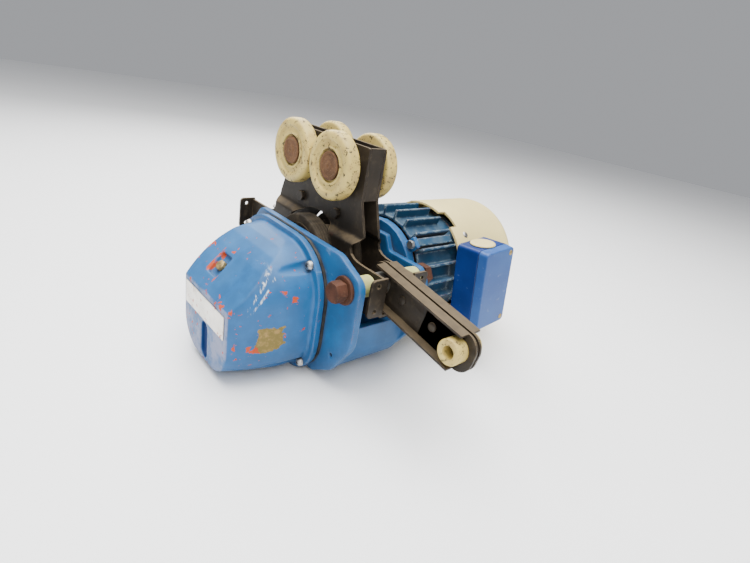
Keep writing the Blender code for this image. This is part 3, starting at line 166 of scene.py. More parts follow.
# ================================================================ outlines and meshes
def arc(centre_y, centre_z, radius, start, end, steps):
    """Points on an arc in the YZ plane; angles in degrees from +Y towards +Z."""
    points = []
    for step in range(steps + 1):
        angle = math.radians(start + (end - start) * step / steps)
        points.append((centre_y + radius * math.cos(angle), centre_z + radius * math.sin(angle)))
    return points


def filleted(corners, steps=10):
    """An outline from (y, z, radius) corners, each rounded by its own radius."""
    outline = []
    count = len(corners)
    for index, (y, z, radius) in enumerate(corners):
        here = Vector((y, z))
        if radius <= 0:
            outline.append((y, z))
            continue
        before = (Vector(corners[index - 1][:2]) - here).normalized()
        after = (Vector(corners[(index + 1) % count][:2]) - here).normalized()
        half = math.acos(max(-1.0, min(1.0, before.dot(after)))) / 2
        centre = here + (before + after).normalized() * (radius / math.sin(half))
        reach = radius / math.tan(half)
        first = here + before * reach - centre
        last = here + after * reach - centre
        sweep = math.pi - 2 * half
        if first.x * last.y - first.y * last.x < 0:
            sweep = -sweep
        for step in range(steps + 1):
            turn = sweep * step / steps
            outline.append((centre.x + first.x * math.cos(turn) - first.y * math.sin(turn),
                            centre.y + first.x * math.sin(turn) + first.y * math.cos(turn)))
    return outline


def loft(rings):
    """A closed solid through rings of equally many points, capped at both ends."""
    bm = bmesh.new()
    loops = [[bm.verts.new(point) for point in ring] for ring in rings]
    count = len(loops[0])
    for lower, upper in zip(loops, loops[1:]):
        for index in range(count):
            after = (index + 1) % count
            bm.faces.new((lower[index], lower[after], upper[after], upper[index]))
    bm.faces.new(loops[0])
    bm.faces.new(loops[-1])
    bmesh.ops.recalc_face_normals(bm, faces=bm.faces)
    return bm


def prism(outline, x0, x1):
    """A YZ outline extruded along X."""
    return loft([[(x, y, z) for y, z in outline] for x in (x0, x1)])


def block(x0, x1, y0, y1, z0, z1):
    """A box between two corners."""
    return prism([(y0, z0), (y1, z0), (y1, z1), (y0, z1)], x0, x1)


def turned(profile, steps):
    """A closed (x, r) profile, or one that ends on the axis, spun about X."""
    bm = bmesh.new()
    verts = [bm.verts.new((x, 0.0, max(r, 0.0))) for x, r in profile]
    edges = []
    for first, second in zip(verts, verts[1:] + verts[:1]):
        if first.co.z > 1e-7 or second.co.z > 1e-7:
            edges.append(bm.edges.new((first, second)))
    bmesh.ops.spin(bm, geom=verts + edges, cent=(0, 0, 0), axis=(1, 0, 0), dvec=(0, 0, 0),
                   angle=2 * math.pi, steps=steps, use_merge=True)
    bmesh.ops.remove_doubles(bm, verts=bm.verts, dist=1e-6)
    bmesh.ops.recalc_face_normals(bm, faces=bm.faces)
    return bm


def rod(x0, x1, radius, steps=32):
    """A round bar along X."""
    return turned([(x0, 0.0), (x0, radius), (x1, radius), (x1, 0.0)], steps)


def moved(bm, x=0.0, y=0.0, z=0.0, turn=None):
    """The same mesh, turned by a matrix if one is given and then shifted."""
    if turn is not None:
        bmesh.ops.transform(bm, matrix=turn.to_4x4(), verts=bm.verts)
    bmesh.ops.translate(bm, vec=(x, y, z), verts=bm.verts)
    return bm


def combined(pieces):
    """One mesh that holds several separate solids."""
    whole = bmesh.new()
    for bm in pieces:
        copy = bpy.data.meshes.new("solid")
        bm.to_mesh(copy)
        bm.free()
        whole.from_mesh(copy)
        bpy.data.meshes.remove(copy)
    return whole


def sliced(bm, place, normal):
    """The mesh with all that lies beyond a plane taken off, and closed again."""
    geometry = bm.verts[:] + bm.edges[:] + bm.faces[:]
    result = bmesh.ops.bisect_plane(bm, geom=geometry, plane_co=place, plane_no=normal, dist=1e-7,
                                    clear_outer=True)
    edges = [item for item in result["geom_cut"] if isinstance(item, bmesh.types.BMEdge)]
    bmesh.ops.edgenet_fill(bm, edges=edges)
    bmesh.ops.recalc_face_normals(bm, faces=bm.faces)
    return bm


def new_piece(name, bm, body, place=MIDDLE):
    """A mesh object in the row frame that rides on a body; bm is measured from place."""
    bmesh.ops.translate(bm, vec=place, verts=bm.verts)
    mesh = bpy.data.meshes.new(name)
    bm.to_mesh(mesh)
    bm.free()
    piece = bpy.data.objects.new(name, mesh)
    bpy.context.scene.collection.objects.link(piece)
    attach(piece, body)
    return piece


def settle(piece):
    """Apply the piece's modifiers to its mesh."""
    graph = bpy.context.evaluated_depsgraph_get()
    mesh = bpy.data.meshes.new_from_object(piece.evaluated_get(graph))
    piece.modifiers.clear()
    old = piece.data
    piece.data = mesh
    mesh.name = piece.name
    bpy.data.meshes.remove(old)
    return piece


def boolean(piece, operation, solids, place=MIDDLE):
    """Unite the piece with solids, or cut them from it, and apply that."""
    bm = combined(solids)
    bmesh.ops.translate(bm, vec=place, verts=bm.verts)
    mesh = bpy.data.meshes.new("tool")
    bm.to_mesh(mesh)
    bm.free()
    tool = bpy.data.objects.new("tool", mesh)
    bpy.context.scene.collection.objects.link(tool)
    modifier = piece.modifiers.new(operation.title(), "BOOLEAN")
    modifier.operation = operation
    modifier.solver = "EXACT"
    modifier.use_self = len(solids) > 1
    modifier.object = tool
    settle(piece)
    bpy.data.objects.remove(tool)
    bpy.data.meshes.remove(mesh)
    return piece


def soften(piece, grain, passes):
    """Melt the piece's solids together and soften their edges, as on a casting."""
    remesh = piece.modifiers.new("Grain", "REMESH")
    remesh.mode = "VOXEL"
    remesh.voxel_size = grain
    relax = piece.modifiers.new("Soften", "SMOOTH")
    relax.factor = 0.5
    relax.iterations = passes
    settle(piece)
    thinner = piece.modifiers.new("Thinner", "DECIMATE")
    thinner.ratio = 0.35
    settle(piece)
    return smooth(piece)


def bevelled(piece, width, segments=2):
    """Round the piece's sharp edges, as a tumbled or worn sheet-metal part has."""
    bevel = piece.modifiers.new("Edges", "BEVEL")
    bevel.width = width
    bevel.segments = segments
    bevel.limit_method = "ANGLE"
    bevel.angle_limit = math.radians(28)
    triangles = piece.modifiers.new("Triangles", "TRIANGULATE")
    triangles.min_vertices = 5
    settle(piece)
    bm = bmesh.new()
    bm.from_mesh(piece.data)
    bmesh.ops.dissolve_degenerate(bm, dist=1e-6, edges=bm.edges)
    bmesh.ops.recalc_face_normals(bm, faces=bm.faces)
    bm.to_mesh(piece.data)
    bm.free()
    smooth(piece, 38)
    weighted = piece.modifiers.new("Flat faces", "WEIGHTED_NORMAL")
    weighted.keep_sharp = True
    settle(piece)
    return piece


def smooth(piece, sharp=None):
    """Smooth shading, with edges sharp where faces meet at more than so many degrees."""
    piece.data.shade_smooth()
    if sharp is not None:
        piece.data.set_sharp_from_angle(angle=math.radians(sharp))
    return piece


def frame_copy(node):
    """A clean copy of a frame node's mesh that stands for it."""
    source = frame["nodes"][node]
    bm = bmesh.new()
    bm.from_mesh(source.data)
    bmesh.ops.remove_doubles(bm, verts=bm.verts, dist=2e-6)
    bmesh.ops.dissolve_limit(bm, angle_limit=math.radians(0.6), verts=bm.verts, edges=bm.edges)
    piece = new_piece(node + "_finished", bm, source["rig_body"], Vector())
    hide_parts(node)
    return piece


def stand_for(piece, node, finish):
    """Let the piece take a frame node's place, with the finish of a material slot."""
    if node:
        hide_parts(node)
    piece.data.materials.clear()
    piece.data.materials.append(finish)
    return piece


# ================================================================ shader maths
class Term:
    """A shader value. Arithmetic on it adds Math nodes."""

    def __init__(self, tree, socket):
        self.tree = tree
        self.socket = socket

    def maths(self, operation, *values):
        """A Math node on values or numbers."""
        node = self.tree.nodes.new("ShaderNodeMath")
        node.operation = operation
        for slot, value in zip(node.inputs, values):
            if isinstance(value, Term):
                self.tree.links.new(value.socket, slot)
            else:
                slot.default_value = value
        return Term(self.tree, node.outputs[0])

    def __add__(self, other):
        return self.maths("ADD", self, other)

    __radd__ = __add__

    def __sub__(self, other):
        return self.maths("SUBTRACT", self, other)

    def __rsub__(self, other):
        return self.maths("SUBTRACT", other, self)

    def __mul__(self, other):
        return self.maths("MULTIPLY", self, other)

    __rmul__ = __mul__

    def __abs__(self):
        return self.maths("ABSOLUTE", self)

    def most(self, other):
        """The larger of the two."""
        return self.maths("MAXIMUM", self, other)

    def rise(self, low, high):
        """0 below low, 1 above high, and smooth between them."""
        node = self.tree.nodes.new("ShaderNodeMapRange")
        node.interpolation_type = "SMOOTHSTEP"
        self.tree.links.new(self.socket, node.inputs["Value"])
        node.inputs["From Min"].default_value = low
        node.inputs["From Max"].default_value = high
        return Term(self.tree, node.outputs["Result"])


class Finish:
    """A Principled material, built from patterns in the piece's own space."""

    def __init__(self, name, roughness=0.5, metallic=0.0, coat=0.0, gloss=0.25):
        self.material = bpy.data.materials.new(name)
        self.material.use_nodes = True
        self.tree = self.material.node_tree
        self.shader = self.tree.nodes["Principled BSDF"]
        self.shader.inputs["Roughness"].default_value = roughness
        self.shader.inputs["Metallic"].default_value = metallic
        self.shader.inputs["Coat Weight"].default_value = coat
        self.shader.inputs["Coat Roughness"].default_value = 0.25
        self.shader.inputs["Specular IOR Level"].default_value = gloss
        self.place = self.add("ShaderNodeTexCoord").outputs["Object"]

    def add(self, kind, settings=None, values=None):
        """A node of that kind, with its settings made first and then its sockets' values or links."""
        node = self.tree.nodes.new(kind)
        for key, value in (settings or {}).items():
            setattr(node, key, value)
        for key, value in (values or {}).items():
            if isinstance(value, Term):
                value = value.socket
            if isinstance(value, bpy.types.NodeSocket):
                self.tree.links.new(value, node.inputs[key])
            else:
                node.inputs[key].default_value = value
        return node

    def noise(self, scale, detail=4.0, rough=0.55, distortion=0.0, stretch=(1, 1, 1)):
        """Cloudy noise, finer with a larger scale, and squeezed along an axis by its stretch."""
        place = self.place
        if stretch != (1, 1, 1):
            place = self.add("ShaderNodeMapping", None, {"Vector": place, "Scale": stretch}).outputs[0]
        node = self.add("ShaderNodeTexNoise", None, {"Vector": place, "Scale": scale, "Detail": detail,
                                                     "Roughness": rough, "Distortion": distortion})
        return Term(self.tree, node.outputs[0])

    def axes(self):
        """The place's x, y and z."""
        node = self.add("ShaderNodeSeparateXYZ", None, {"Vector": self.place})
        return [Term(self.tree, socket) for socket in node.outputs]

    def edges(self, width, low=0.01, high=0.20):
        """1 on sharp edges, fading out over width."""
        bevel = self.add("ShaderNodeBevel", {"samples": 6}, {"Radius": width})
        plain = self.add("ShaderNodeNewGeometry")
        dot = self.add("ShaderNodeVectorMath", {"operation": "DOT_PRODUCT"},
                       {0: bevel.outputs[0], 1: plain.outputs["Normal"]})
        return (1.0 - Term(self.tree, dot.outputs["Value"])).rise(low, high)

    def painted_corner_shade(self, reach):
        """1 in narrow corners and 0 in the open: an ambient-occlusion mask, used to paint shade into corners.
        """
        node = self.add("ShaderNodeAmbientOcclusion", {"samples": 6}, {"Distance": reach})
        return (1.0 - Term(self.tree, node.outputs["AO"])).rise(0.25, 0.85)

    def upward(self):
        """1 on faces that look up, where dust settles; worn_paint also puts a painted highlight there."""
        normal = self.add("ShaderNodeNewGeometry").outputs["Normal"]
        node = self.add("ShaderNodeSeparateXYZ", None, {"Vector": normal})
        return Term(self.tree, node.outputs["Z"]).rise(0.2, 0.95)

    def mix(self, share, first, second):
        """A colour between first and second."""
        values = {0: share}
        for slot, value in ((6, first), (7, second)):
            values[slot] = value if isinstance(value, bpy.types.NodeSocket) else (*value, 1.0)
        return self.add("ShaderNodeMix", {"data_type": "RGBA"}, values).outputs[2]

    def done(self, tint, roughness=None, height=None, depth=0.0004):
        """Connect the finished patterns and return the material."""
        self.tree.links.new(tint, self.shader.inputs["Base Color"])
        if roughness is not None:
            self.tree.links.new(roughness.socket, self.shader.inputs["Roughness"])
        if height is not None:
            bump = self.add("ShaderNodeBump", None, {"Height": height, "Distance": depth, "Strength": 0.7})
            self.tree.links.new(bump.outputs[0], self.shader.inputs["Normal"])
        return self.material


def shade(colour_value, factor):
    """The colour, darker or lighter."""
    return tuple(min(1.0, part * factor) for part in colour_value)


MADE = {}


def finish_of(name):
    """The finish of that name, made the first time it is asked for."""
    if name not in MADE:
        MADE[name] = FINISHES[name](bpy.context.scene.hoist_colours, bpy.context.scene.hoist_sizes)
    return MADE[name]


# ================================================================ finishes
def worn_paint(name, paint, colours, sizes, chips=0.0, coat=0.05):
    """Enamel with tone changes, chips down to red primer and bare metal, scuffs, a painted highlight on faces
    that look up, and painted shade in its corners.
    """
    make = Finish(name, coat=coat)
    broad = make.noise(11, 3)
    middling = make.noise(70, 5, 0.6)
    fine = make.noise(420, 3)
    patches = make.noise(26, 6, 0.62, 0.4)
    edge = make.edges(sizes.wear)
    # corner is an ambient-occlusion mask: it paints shade into the paint's corners.
    corner = make.painted_corner_shade(0.012)
    wear = edge * 0.42 + patches * 0.55 + middling * 0.22
    primer = wear.rise(0.56 - chips, 0.585 - chips)
    bare = wear.rise(0.68 - chips, 0.71 - chips)
    scuff = make.noise(34, 5, 0.7, 0.3, (0.35, 1.0, 2.6)).rise(0.63, 0.76) * make.noise(9).rise(0.45, 0.62)
    tint = make.mix(broad.rise(0.3, 0.7), shade(paint, 0.80), shade(paint, 1.22))
    tint = make.mix(middling.rise(0.40, 0.75) * 0.35, tint, shade(paint, 1.6))
    # Painted highlight: faces that look up get a paler blue, as if lit from above.
    tint = make.mix(make.upward() * broad.rise(0.35, 0.7) * 0.22, tint, (0.10, 0.21, 0.32))
    tint = make.mix(scuff * 0.35, tint, (0.26, 0.36, 0.44))
    tint = make.mix(edge * middling.rise(0.42, 0.60) * 0.45, tint, (0.16, 0.28, 0.40))
    # Painted shade: the corners are darkened with the dirt colour.
    tint = make.mix(corner * (0.35 + 0.5 * middling), tint, shade(colours.dirt, 0.8))
    tint = make.mix(primer, tint, colours.primer)
    tint = make.mix(bare * fine.rise(0.35, 0.6), tint, (0.30, 0.22, 0.17))
    rough = 0.36 + 0.18 * broad + 0.25 * primer + 0.18 * corner + 0.10 * scuff
    height = broad * 0.4 + fine * 0.05 - primer * 0.30
    return make, tint, rough, height


def casting_finish(colours, sizes):
    """The housing's paint."""
    make, tint, rough, height = worn_paint("casting_blue", colours.casting, colours, sizes, 0.012)
    return make.done(tint, rough, height)


def cover_finish(colours, sizes):
    """The cover's paint: a scraped side, painted highlight streaks by its slope, painted shade inside the
    nose slot, chips and a chalky nose.
    """
    make, tint, rough, height = worn_paint("cover_blue", colours.casting, colours, sizes, 0.015)
    x, y, z = make.axes()
    low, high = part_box("gear_cover")
    nose_y = (low.y + high.y) / 2 - NOSE_SHIFT
    slope_foot = low.z + SLOPE_RISE
    side = (low.y + 0.040 - y).rise(0.0, 0.004)
    chalky = (low.x + 0.0016 - x).rise(0.0, 0.0012) * make.noise(40, 5, 0.7).rise(0.38, 0.62)
    tint = make.mix(chalky * 0.65, tint, (0.26, 0.26, 0.36))
    slot_wide = (SLOT_HALF + 0.0006 - abs(y - nose_y)).rise(0.0, 0.0006)
    # Painted shade: the inside of the nose slot is made a darker blue.
    painted_slot_shade = (x - (low.x + 0.0012)).rise(0.0, 0.0012) * slot_wide
    painted_slot_shade = painted_slot_shade * (low.x + 0.0085 - x).rise(0.0, 0.001)
    painted_slot_shade = painted_slot_shade * (slope_foot - 0.030 - z).rise(0.0, 0.001)
    tint = make.mix(painted_slot_shade, tint, (0.006, 0.030, 0.130))
    ragged = make.noise(75, 5, 0.65) * 0.022 + make.noise(24) * 0.016
    across = abs(x - (high.x - 0.053)) - 0.010
    upright = abs(z - (low.z + 0.061)) - 0.011
    patch = (0.0215 - across.most(upright) - ragged).rise(0.0, 0.0012) * side
    tint = make.mix(patch, tint, colours.scraped)
    tint = make.mix(patch * make.noise(160, 5, 0.7).rise(0.45, 0.65) * 0.5, tint, (0.40, 0.24, 0.08))
    # Painted highlight: pale streaks along the soft crease between the sloped top and the side.
    streak = make.noise(70, 5, 0.75, 0.2, (2.2, 1.0, 0.35)).rise(0.50, 0.60)
    along = (z - low.z) - (x - low.x) * 1.30
    upper_highlight_band = (0.0040 - abs(along - 0.074)).rise(0.0, 0.003)
    highlight_bands = upper_highlight_band.most((0.0026 - abs(along - 0.064)).rise(0.0, 0.002))
    reach = (z - (slope_foot - 0.004)).rise(0.0, 0.010) * (high.z - 0.020 - z).rise(0.0, 0.012)
    # This mask holds the painted highlight streaks; they are not worn paint.
    rubbed = streak * highlight_bands * reach * (low.y + 0.060 - y).rise(0.0, 0.010)
    tint = make.mix(rubbed * 0.9, tint, (0.62, 0.68, 0.72))
    flake = make.noise(120, 4, 0.6, 0.6) * 0.60 + make.noise(30, 4, 0.6) * 0.40
    by_label = (0.0065 - abs(z - slope_foot - 0.001)).rise(0.0, 0.006) * (low.x + 0.020 - x).rise(0.0, 0.01)
    on_slope = (z - slope_foot).rise(0.0, 0.004) * (low.x + 0.060 - x).rise(0.0, 0.02)
    on_nose = (slope_foot - z).rise(0.0, 0.004) * (low.x + 0.016 - x).rise(0.0, 0.008)
    chip = (flake + by_label * 0.035 + on_slope * 0.004 + on_nose * 0.016).rise(0.622, 0.634)
    wall = (y - (nose_y + 0.0245)).rise(0.0, 0.001) * (z - (slope_foot + 0.010)).rise(0.0, 0.004)
    wall = wall * (nose_y + 0.0305 - y).rise(0.0, 0.001) * (slope_foot + 0.034 - z).rise(0.0, 0.004)
    tint = make.mix(chip.most(wall * make.noise(90, 4).rise(0.42, 0.52)), tint, colours.primer)
    return make.done(tint, rough + patch * 0.2 + chip * 0.25, height - patch * 0.4 - chip * 0.5)


def motor_finish(colours, sizes):
    """The motor's darker paint, worn pale along its fins and dusty on top."""
    make, tint, rough, height = worn_paint("motor_blue", colours.motor, colours, sizes, 0.0)
    edge = make.edges(0.0030, 0.004, 0.060)
    pale = edge * make.noise(120, 5, 0.7).rise(0.46, 0.54)
    tint = make.mix(pale * 0.85, tint, (0.30, 0.36, 0.36))
    dust = make.upward() * make.noise(55, 5, 0.65).rise(0.42, 0.66)
    tint = make.mix(dust * 0.40, tint, (0.13, 0.17, 0.19))
    return make.done(tint, rough, height)


def box_finish(colours, sizes):
    """Moulded plastic, lightly scratched and rubbed pale along its edges."""
    make = Finish("box_blue", 0.35, coat=0.15)
    grain = make.noise(600, 2)
    broad = make.noise(18, 4)
    scratch = make.noise(130, 4, 0.7, 0.0, (0.15, 1.0, 1.6)).rise(0.66, 0.72)
    edge = make.edges(0.0018)
    tint = make.mix(broad.rise(0.3, 0.7), shade(colours.box, 0.78), shade(colours.box, 1.25))
    tint = make.mix(scratch * 0.25, tint, (0.25, 0.32, 0.46))
    tint = make.mix(edge * broad.rise(0.35, 0.7) * 0.40, tint, (0.16, 0.24, 0.48))
    # Painted shade: the box's corners are darkened through the ambient-occlusion mask.
    tint = make.mix(make.painted_corner_shade(0.006) * 0.55, tint, shade(colours.dirt, 0.5))
    return make.done(tint, 0.30 + 0.22 * broad + 0.2 * scratch, grain * 0.12 + broad * 0.2)


def lid_finish(colours, sizes):
    """The lid's plastic, bleached and dusty on its broad face."""
    make = Finish("lid_blue", 0.42, coat=0.1)
    grain = make.noise(600, 2)
    broad = make.noise(14, 4, 0.6)
    speckle = make.noise(150, 5, 0.7)
    edge = make.edges(0.0020)
    tint = make.mix(broad.rise(0.3, 0.72), (0.014, 0.060, 0.225), (0.032, 0.100, 0.290))
    tint = make.mix(speckle.rise(0.60, 0.75) * 0.30, tint, (0.34, 0.42, 0.52))
    tint = make.mix(edge * speckle.rise(0.4, 0.6) * 0.4, tint, (0.30, 0.40, 0.58))
    # Painted shade: the lid's corners are darkened through the ambient-occlusion mask.
    tint = make.mix(make.painted_corner_shade(0.006) * 0.5, tint, shade(colours.dirt, 0.5))
    return make.done(tint, 0.40 + 0.2 * broad, grain * 0.12 + broad * 0.2)


def cream_finish(colours, sizes):
    """Cream enamel with brown flecks at its edges and rims."""
    make = Finish("cream_enamel", 0.4, coat=0.2)
    broad = make.noise(10, 4)
    speckle = make.noise(120, 6, 0.7)
    edge = make.edges(0.003)
    tint = make.mix(broad.rise(0.3, 0.7), shade(colours.cream, 0.90), shade(colours.cream, 1.08))
    fleck = (edge * 0.45 + speckle * 0.62).rise(0.62, 0.68)
    tint = make.mix(fleck * 0.8, tint, (0.22, 0.13, 0.07))
    tint = make.mix(make.noise(36, 6, 0.7).rise(0.60, 0.80) * 0.35, tint, (0.45, 0.36, 0.20))
    return make.done(tint, 0.38 + 0.2 * broad + 0.3 * fleck, speckle * 0.05 - fleck * 0.2 + broad * 0.3)


def nylon_finish(colours, sizes):
    """Old nylon: dirty specks pressed into the tread, brown rings of dirt and painted shade round the hub and
    in its corners, and a rubbed, paler rim.
    """
    make = Finish("wheel_nylon", 0.5)
    make.shader.inputs["Subsurface Weight"].default_value = 0.05
    make.shader.inputs["Subsurface Radius"].default_value = (0.004, 0.003, 0.002)
    broad = make.noise(24, 4)
    speckle = make.noise(210, 6, 0.72)
    smear = make.noise(60, 6, 0.65, 0.5)
    edge = make.edges(0.004)
    # corner is an ambient-occlusion mask: it adds painted shade to the brown dirt below.
    corner = make.painted_corner_shade(0.007)
    tint = make.mix(broad.rise(0.3, 0.7), shade(colours.nylon, 0.85), shade(colours.nylon, 1.15))
    tint = make.mix(smear.rise(0.46, 0.66) * 0.65, tint, (0.36, 0.25, 0.085))
    dirt = (corner * 0.55 + smear * 0.62).rise(0.42, 0.66)
    tint = make.mix(dirt * 0.75, tint, (0.15, 0.095, 0.040))
    pits = (speckle + edge * 0.07 + smear * 0.16).rise(0.655, 0.685)
    tint = make.mix(pits, tint, shade(colours.dirt, 0.6))
    return make.done(tint, 0.42 + 0.25 * dirt + 0.2 * pits, broad * 0.3 - pits * 0.35 + speckle * 0.06)


def steel_finish(colours, sizes):
    """Sheet steel under brown grease, with tan dust on its upper faces and rubbed edges."""
    make = Finish("dusty_steel", 0.6, 0.1)
    broad = make.noise(16, 4)
    middling = make.noise(80, 6, 0.65)
    fine = make.noise(500, 3)
    edge = make.edges(0.0018)
    tint = make.mix(broad.rise(0.3, 0.7), shade(colours.frame_steel, 0.75), shade(colours.frame_steel, 1.7))
    tint = make.mix(middling.rise(0.50, 0.72) * 0.45, tint, (0.075, 0.057, 0.036))
    dust = (make.upward() * 0.55 + middling * 0.55 + edge * 0.22).rise(0.55, 0.88)
    tint = make.mix(dust * 0.80, tint, colours.dust)
    tint = make.mix((edge * middling.rise(0.42, 0.58)) * 0.6, tint, (0.145, 0.108, 0.066))
    rust = make.noise(44, 6, 0.7, 0.3).rise(0.64, 0.72)
    tint = make.mix(rust * 0.55, tint, colours.rust)
    rough = 0.48 + 0.25 * dust + 0.15 * middling
    return make.done(tint, rough, middling * 0.35 + fine * 0.15 + dust * 0.2, 0.0005)


def rusty(name, tone, blush):
    """A brown rust skin, pitted and rubbed brighter on its edges."""
    make = Finish(name, 0.75, 0.1)
    broad = make.noise(45, 5, 0.6)
    fine = make.noise(420, 5, 0.7)
    edge = make.edges(0.0015)
    tint = make.mix(broad.rise(0.3, 0.7), shade(tone, 0.70), shade(tone, 1.6))
    tint = make.mix(fine.rise(0.50, 0.68) * 0.6, tint, blush)
    tint = make.mix(edge * broad.rise(0.35, 0.6) * 0.6, tint, shade(blush, 1.35))
    tint = make.mix(fine.rise(0.66, 0.72), tint, (0.030, 0.015, 0.009))
    # Painted shade: near-black in the corners, through the ambient-occlusion mask.
    tint = make.mix(make.painted_corner_shade(0.004) * 0.5, tint, (0.030, 0.018, 0.010))
    return make.done(tint, 0.60 + 0.25 * fine, fine * 0.4 + broad * 0.5, 0.0006)


def rust_finish(colours, sizes):
    """Rusty bolts, washers and nuts."""
    return rusty("rusty_steel", colours.rust, (0.095, 0.045, 0.024))


def axle_finish(colours, sizes):
    """Axle heads: rust under pale grease from the wheels."""
    return rusty("axle_rust", (0.095, 0.045, 0.020), (0.20, 0.115, 0.050))


def tread_finish(colours, sizes):
    """The friction wheel's tread, ground with brown dust and marked across by the rail."""
    make = Finish("friction_tread", 0.8)
    broad = make.noise(30, 4)
    fine = make.noise(380, 5, 0.7)
    streak = make.noise(90, 4, 0.6, 0.2, (0.2, 1, 1))
    tint = make.mix(broad.rise(0.3, 0.7), (0.018, 0.014, 0.009), (0.045, 0.034, 0.022))
    tint = make.mix(streak.rise(0.48, 0.7) * 0.7, tint, (0.070, 0.053, 0.033))
    tint = make.mix(make.edges(0.002) * 0.4, tint, (0.12, 0.092, 0.060))
    return make.done(tint, 0.70 + 0.2 * broad, fine * 0.6 + streak * 0.6, 0.0007)


def spacer_finish(colours, sizes):
    """Pale plastic with grime and painted shade in its corners."""
    make = Finish("spacer_plastic", 0.45)
    broad = make.noise(60, 4)
    fine = make.noise(300, 5, 0.7)
    tint = make.mix(broad.rise(0.3, 0.7), shade(colours.spacer, 0.80), shade(colours.spacer, 1.15))
    # Grime from fine noise, and painted shade in corners through the ambient-occlusion mask.
    tint = make.mix((make.painted_corner_shade(0.006) * 0.6 + fine * 0.5).rise(0.55, 0.8) * 0.6, tint, (0.18, 0.15, 0.07))
    return make.done(tint, 0.42 + 0.25 * broad, broad * 0.4 + fine * 0.1)


def metal_finish(colours, sizes):
    """Turned steel with a fine lay, and painted shade in its corners."""
    make = Finish("turned_steel", 0.35, 1.0)
    lay = make.noise(300, 3, 0.6, 0.0, (6, 0.4, 0.4))
    broad = make.noise(40, 4)
    tint = make.mix(broad.rise(0.3, 0.7), shade(colours.bare, 0.7), shade(colours.bare, 1.2))
    # Painted shade: the corners are darkened through the ambient-occlusion mask.
    tint = make.mix(make.painted_corner_shade(0.005) * 0.6, tint, colours.dirt)
    return make.done(tint, 0.28 + 0.25 * broad + 0.1 * lay, lay * 0.2 + broad * 0.1, 0.0002)


def copper_finish(colours, sizes):
    """Varnished winding wire, seen as fine strands."""
    make = Finish("winding_copper", 0.35, 0.8)
    strands = make.noise(260, 3, 0.6, 0.0, (1, 3, 3))
    tint = make.mix(strands.rise(0.35, 0.65), (0.22, 0.08, 0.03), (0.55, 0.24, 0.10))
    return make.done(tint, 0.3 + 0.2 * strands, strands * 0.8, 0.0005)


def brass_finish(colours, sizes):
    """Dull brass, with painted shade in its corners."""
    make = Finish("dull_brass", 0.5, 0.7)
    broad = make.noise(90, 5, 0.65)
    tint = make.mix(broad.rise(0.3, 0.7), (0.20, 0.14, 0.06), (0.45, 0.34, 0.15))
    # Painted shade: the corners are darkened through the ambient-occlusion mask.
    tint = make.mix(make.painted_corner_shade(0.004) * 0.6, tint, colours.dirt)
    return make.done(tint, 0.45 + 0.25 * broad, broad * 0.4)


def rubber_finish(colours, sizes):
    """Black rubber with a dusty bloom."""
    make = Finish("black_rubber", 0.8)
    broad = make.noise(50, 4)
    fine = make.noise(400, 3)
    tint = make.mix(broad.rise(0.3, 0.7), (0.012, 0.012, 0.012), (0.045, 0.042, 0.038))
    return make.done(tint, 0.65 + 0.25 * broad, fine * 0.3)


def label_finish(colours, sizes):
    """A blank plate, scratched and stained."""
    make = Finish("blank_label", 0.4, 0.3)
    broad = make.noise(30, 4)
    scratch = make.noise(80, 5, 0.75, 0.0, (1, 3.5, 0.4)).rise(0.58, 0.66)
    stain = make.noise(48, 6, 0.7, 0.3).rise(0.56, 0.70)
    tint = make.mix(broad.rise(0.3, 0.7), shade(colours.label, 0.85), shade(colours.label, 1.15))
    tint = make.mix(scratch * 0.40, tint, (0.34, 0.33, 0.32))
    tint = make.mix(stain * 0.55, tint, (0.42, 0.30, 0.24))
    tint = make.mix(make.noise(170, 4, 0.6).rise(0.62, 0.66), tint, (0.45, 0.12, 0.07))
    tint = make.mix(make.edges(0.002) * 0.5, tint, (0.12, 0.11, 0.10))
    return make.done(tint, 0.35 + 0.3 * stain, scratch * -0.3 + broad * 0.2, 0.0002)


FINISHES = {
    "casting": casting_finish, "cover": cover_finish, "motor": motor_finish, "box": box_finish,
    "lid": lid_finish, "cream": cream_finish, "nylon": nylon_finish, "steel": steel_finish,
    "rust": rust_finish, "axle": axle_finish, "tread": tread_finish, "spacer": spacer_finish,
    "metal": metal_finish, "copper": copper_finish, "brass": brass_finish, "rubber": rubber_finish,
    "label": label_finish,
}
SLOT_FINISHES = {
    "paint": "casting", "motor_paint": "motor", "box_blue": "box", "cream": "cream", "nylon": "nylon",
    "spacer_green": "spacer", "dark_steel": "steel", "rust": "rust", "bright_steel": "metal",
    "rubber": "rubber", "copper": "copper", "brass": "brass", "label_metal": "label", "gasket": "rubber",
}


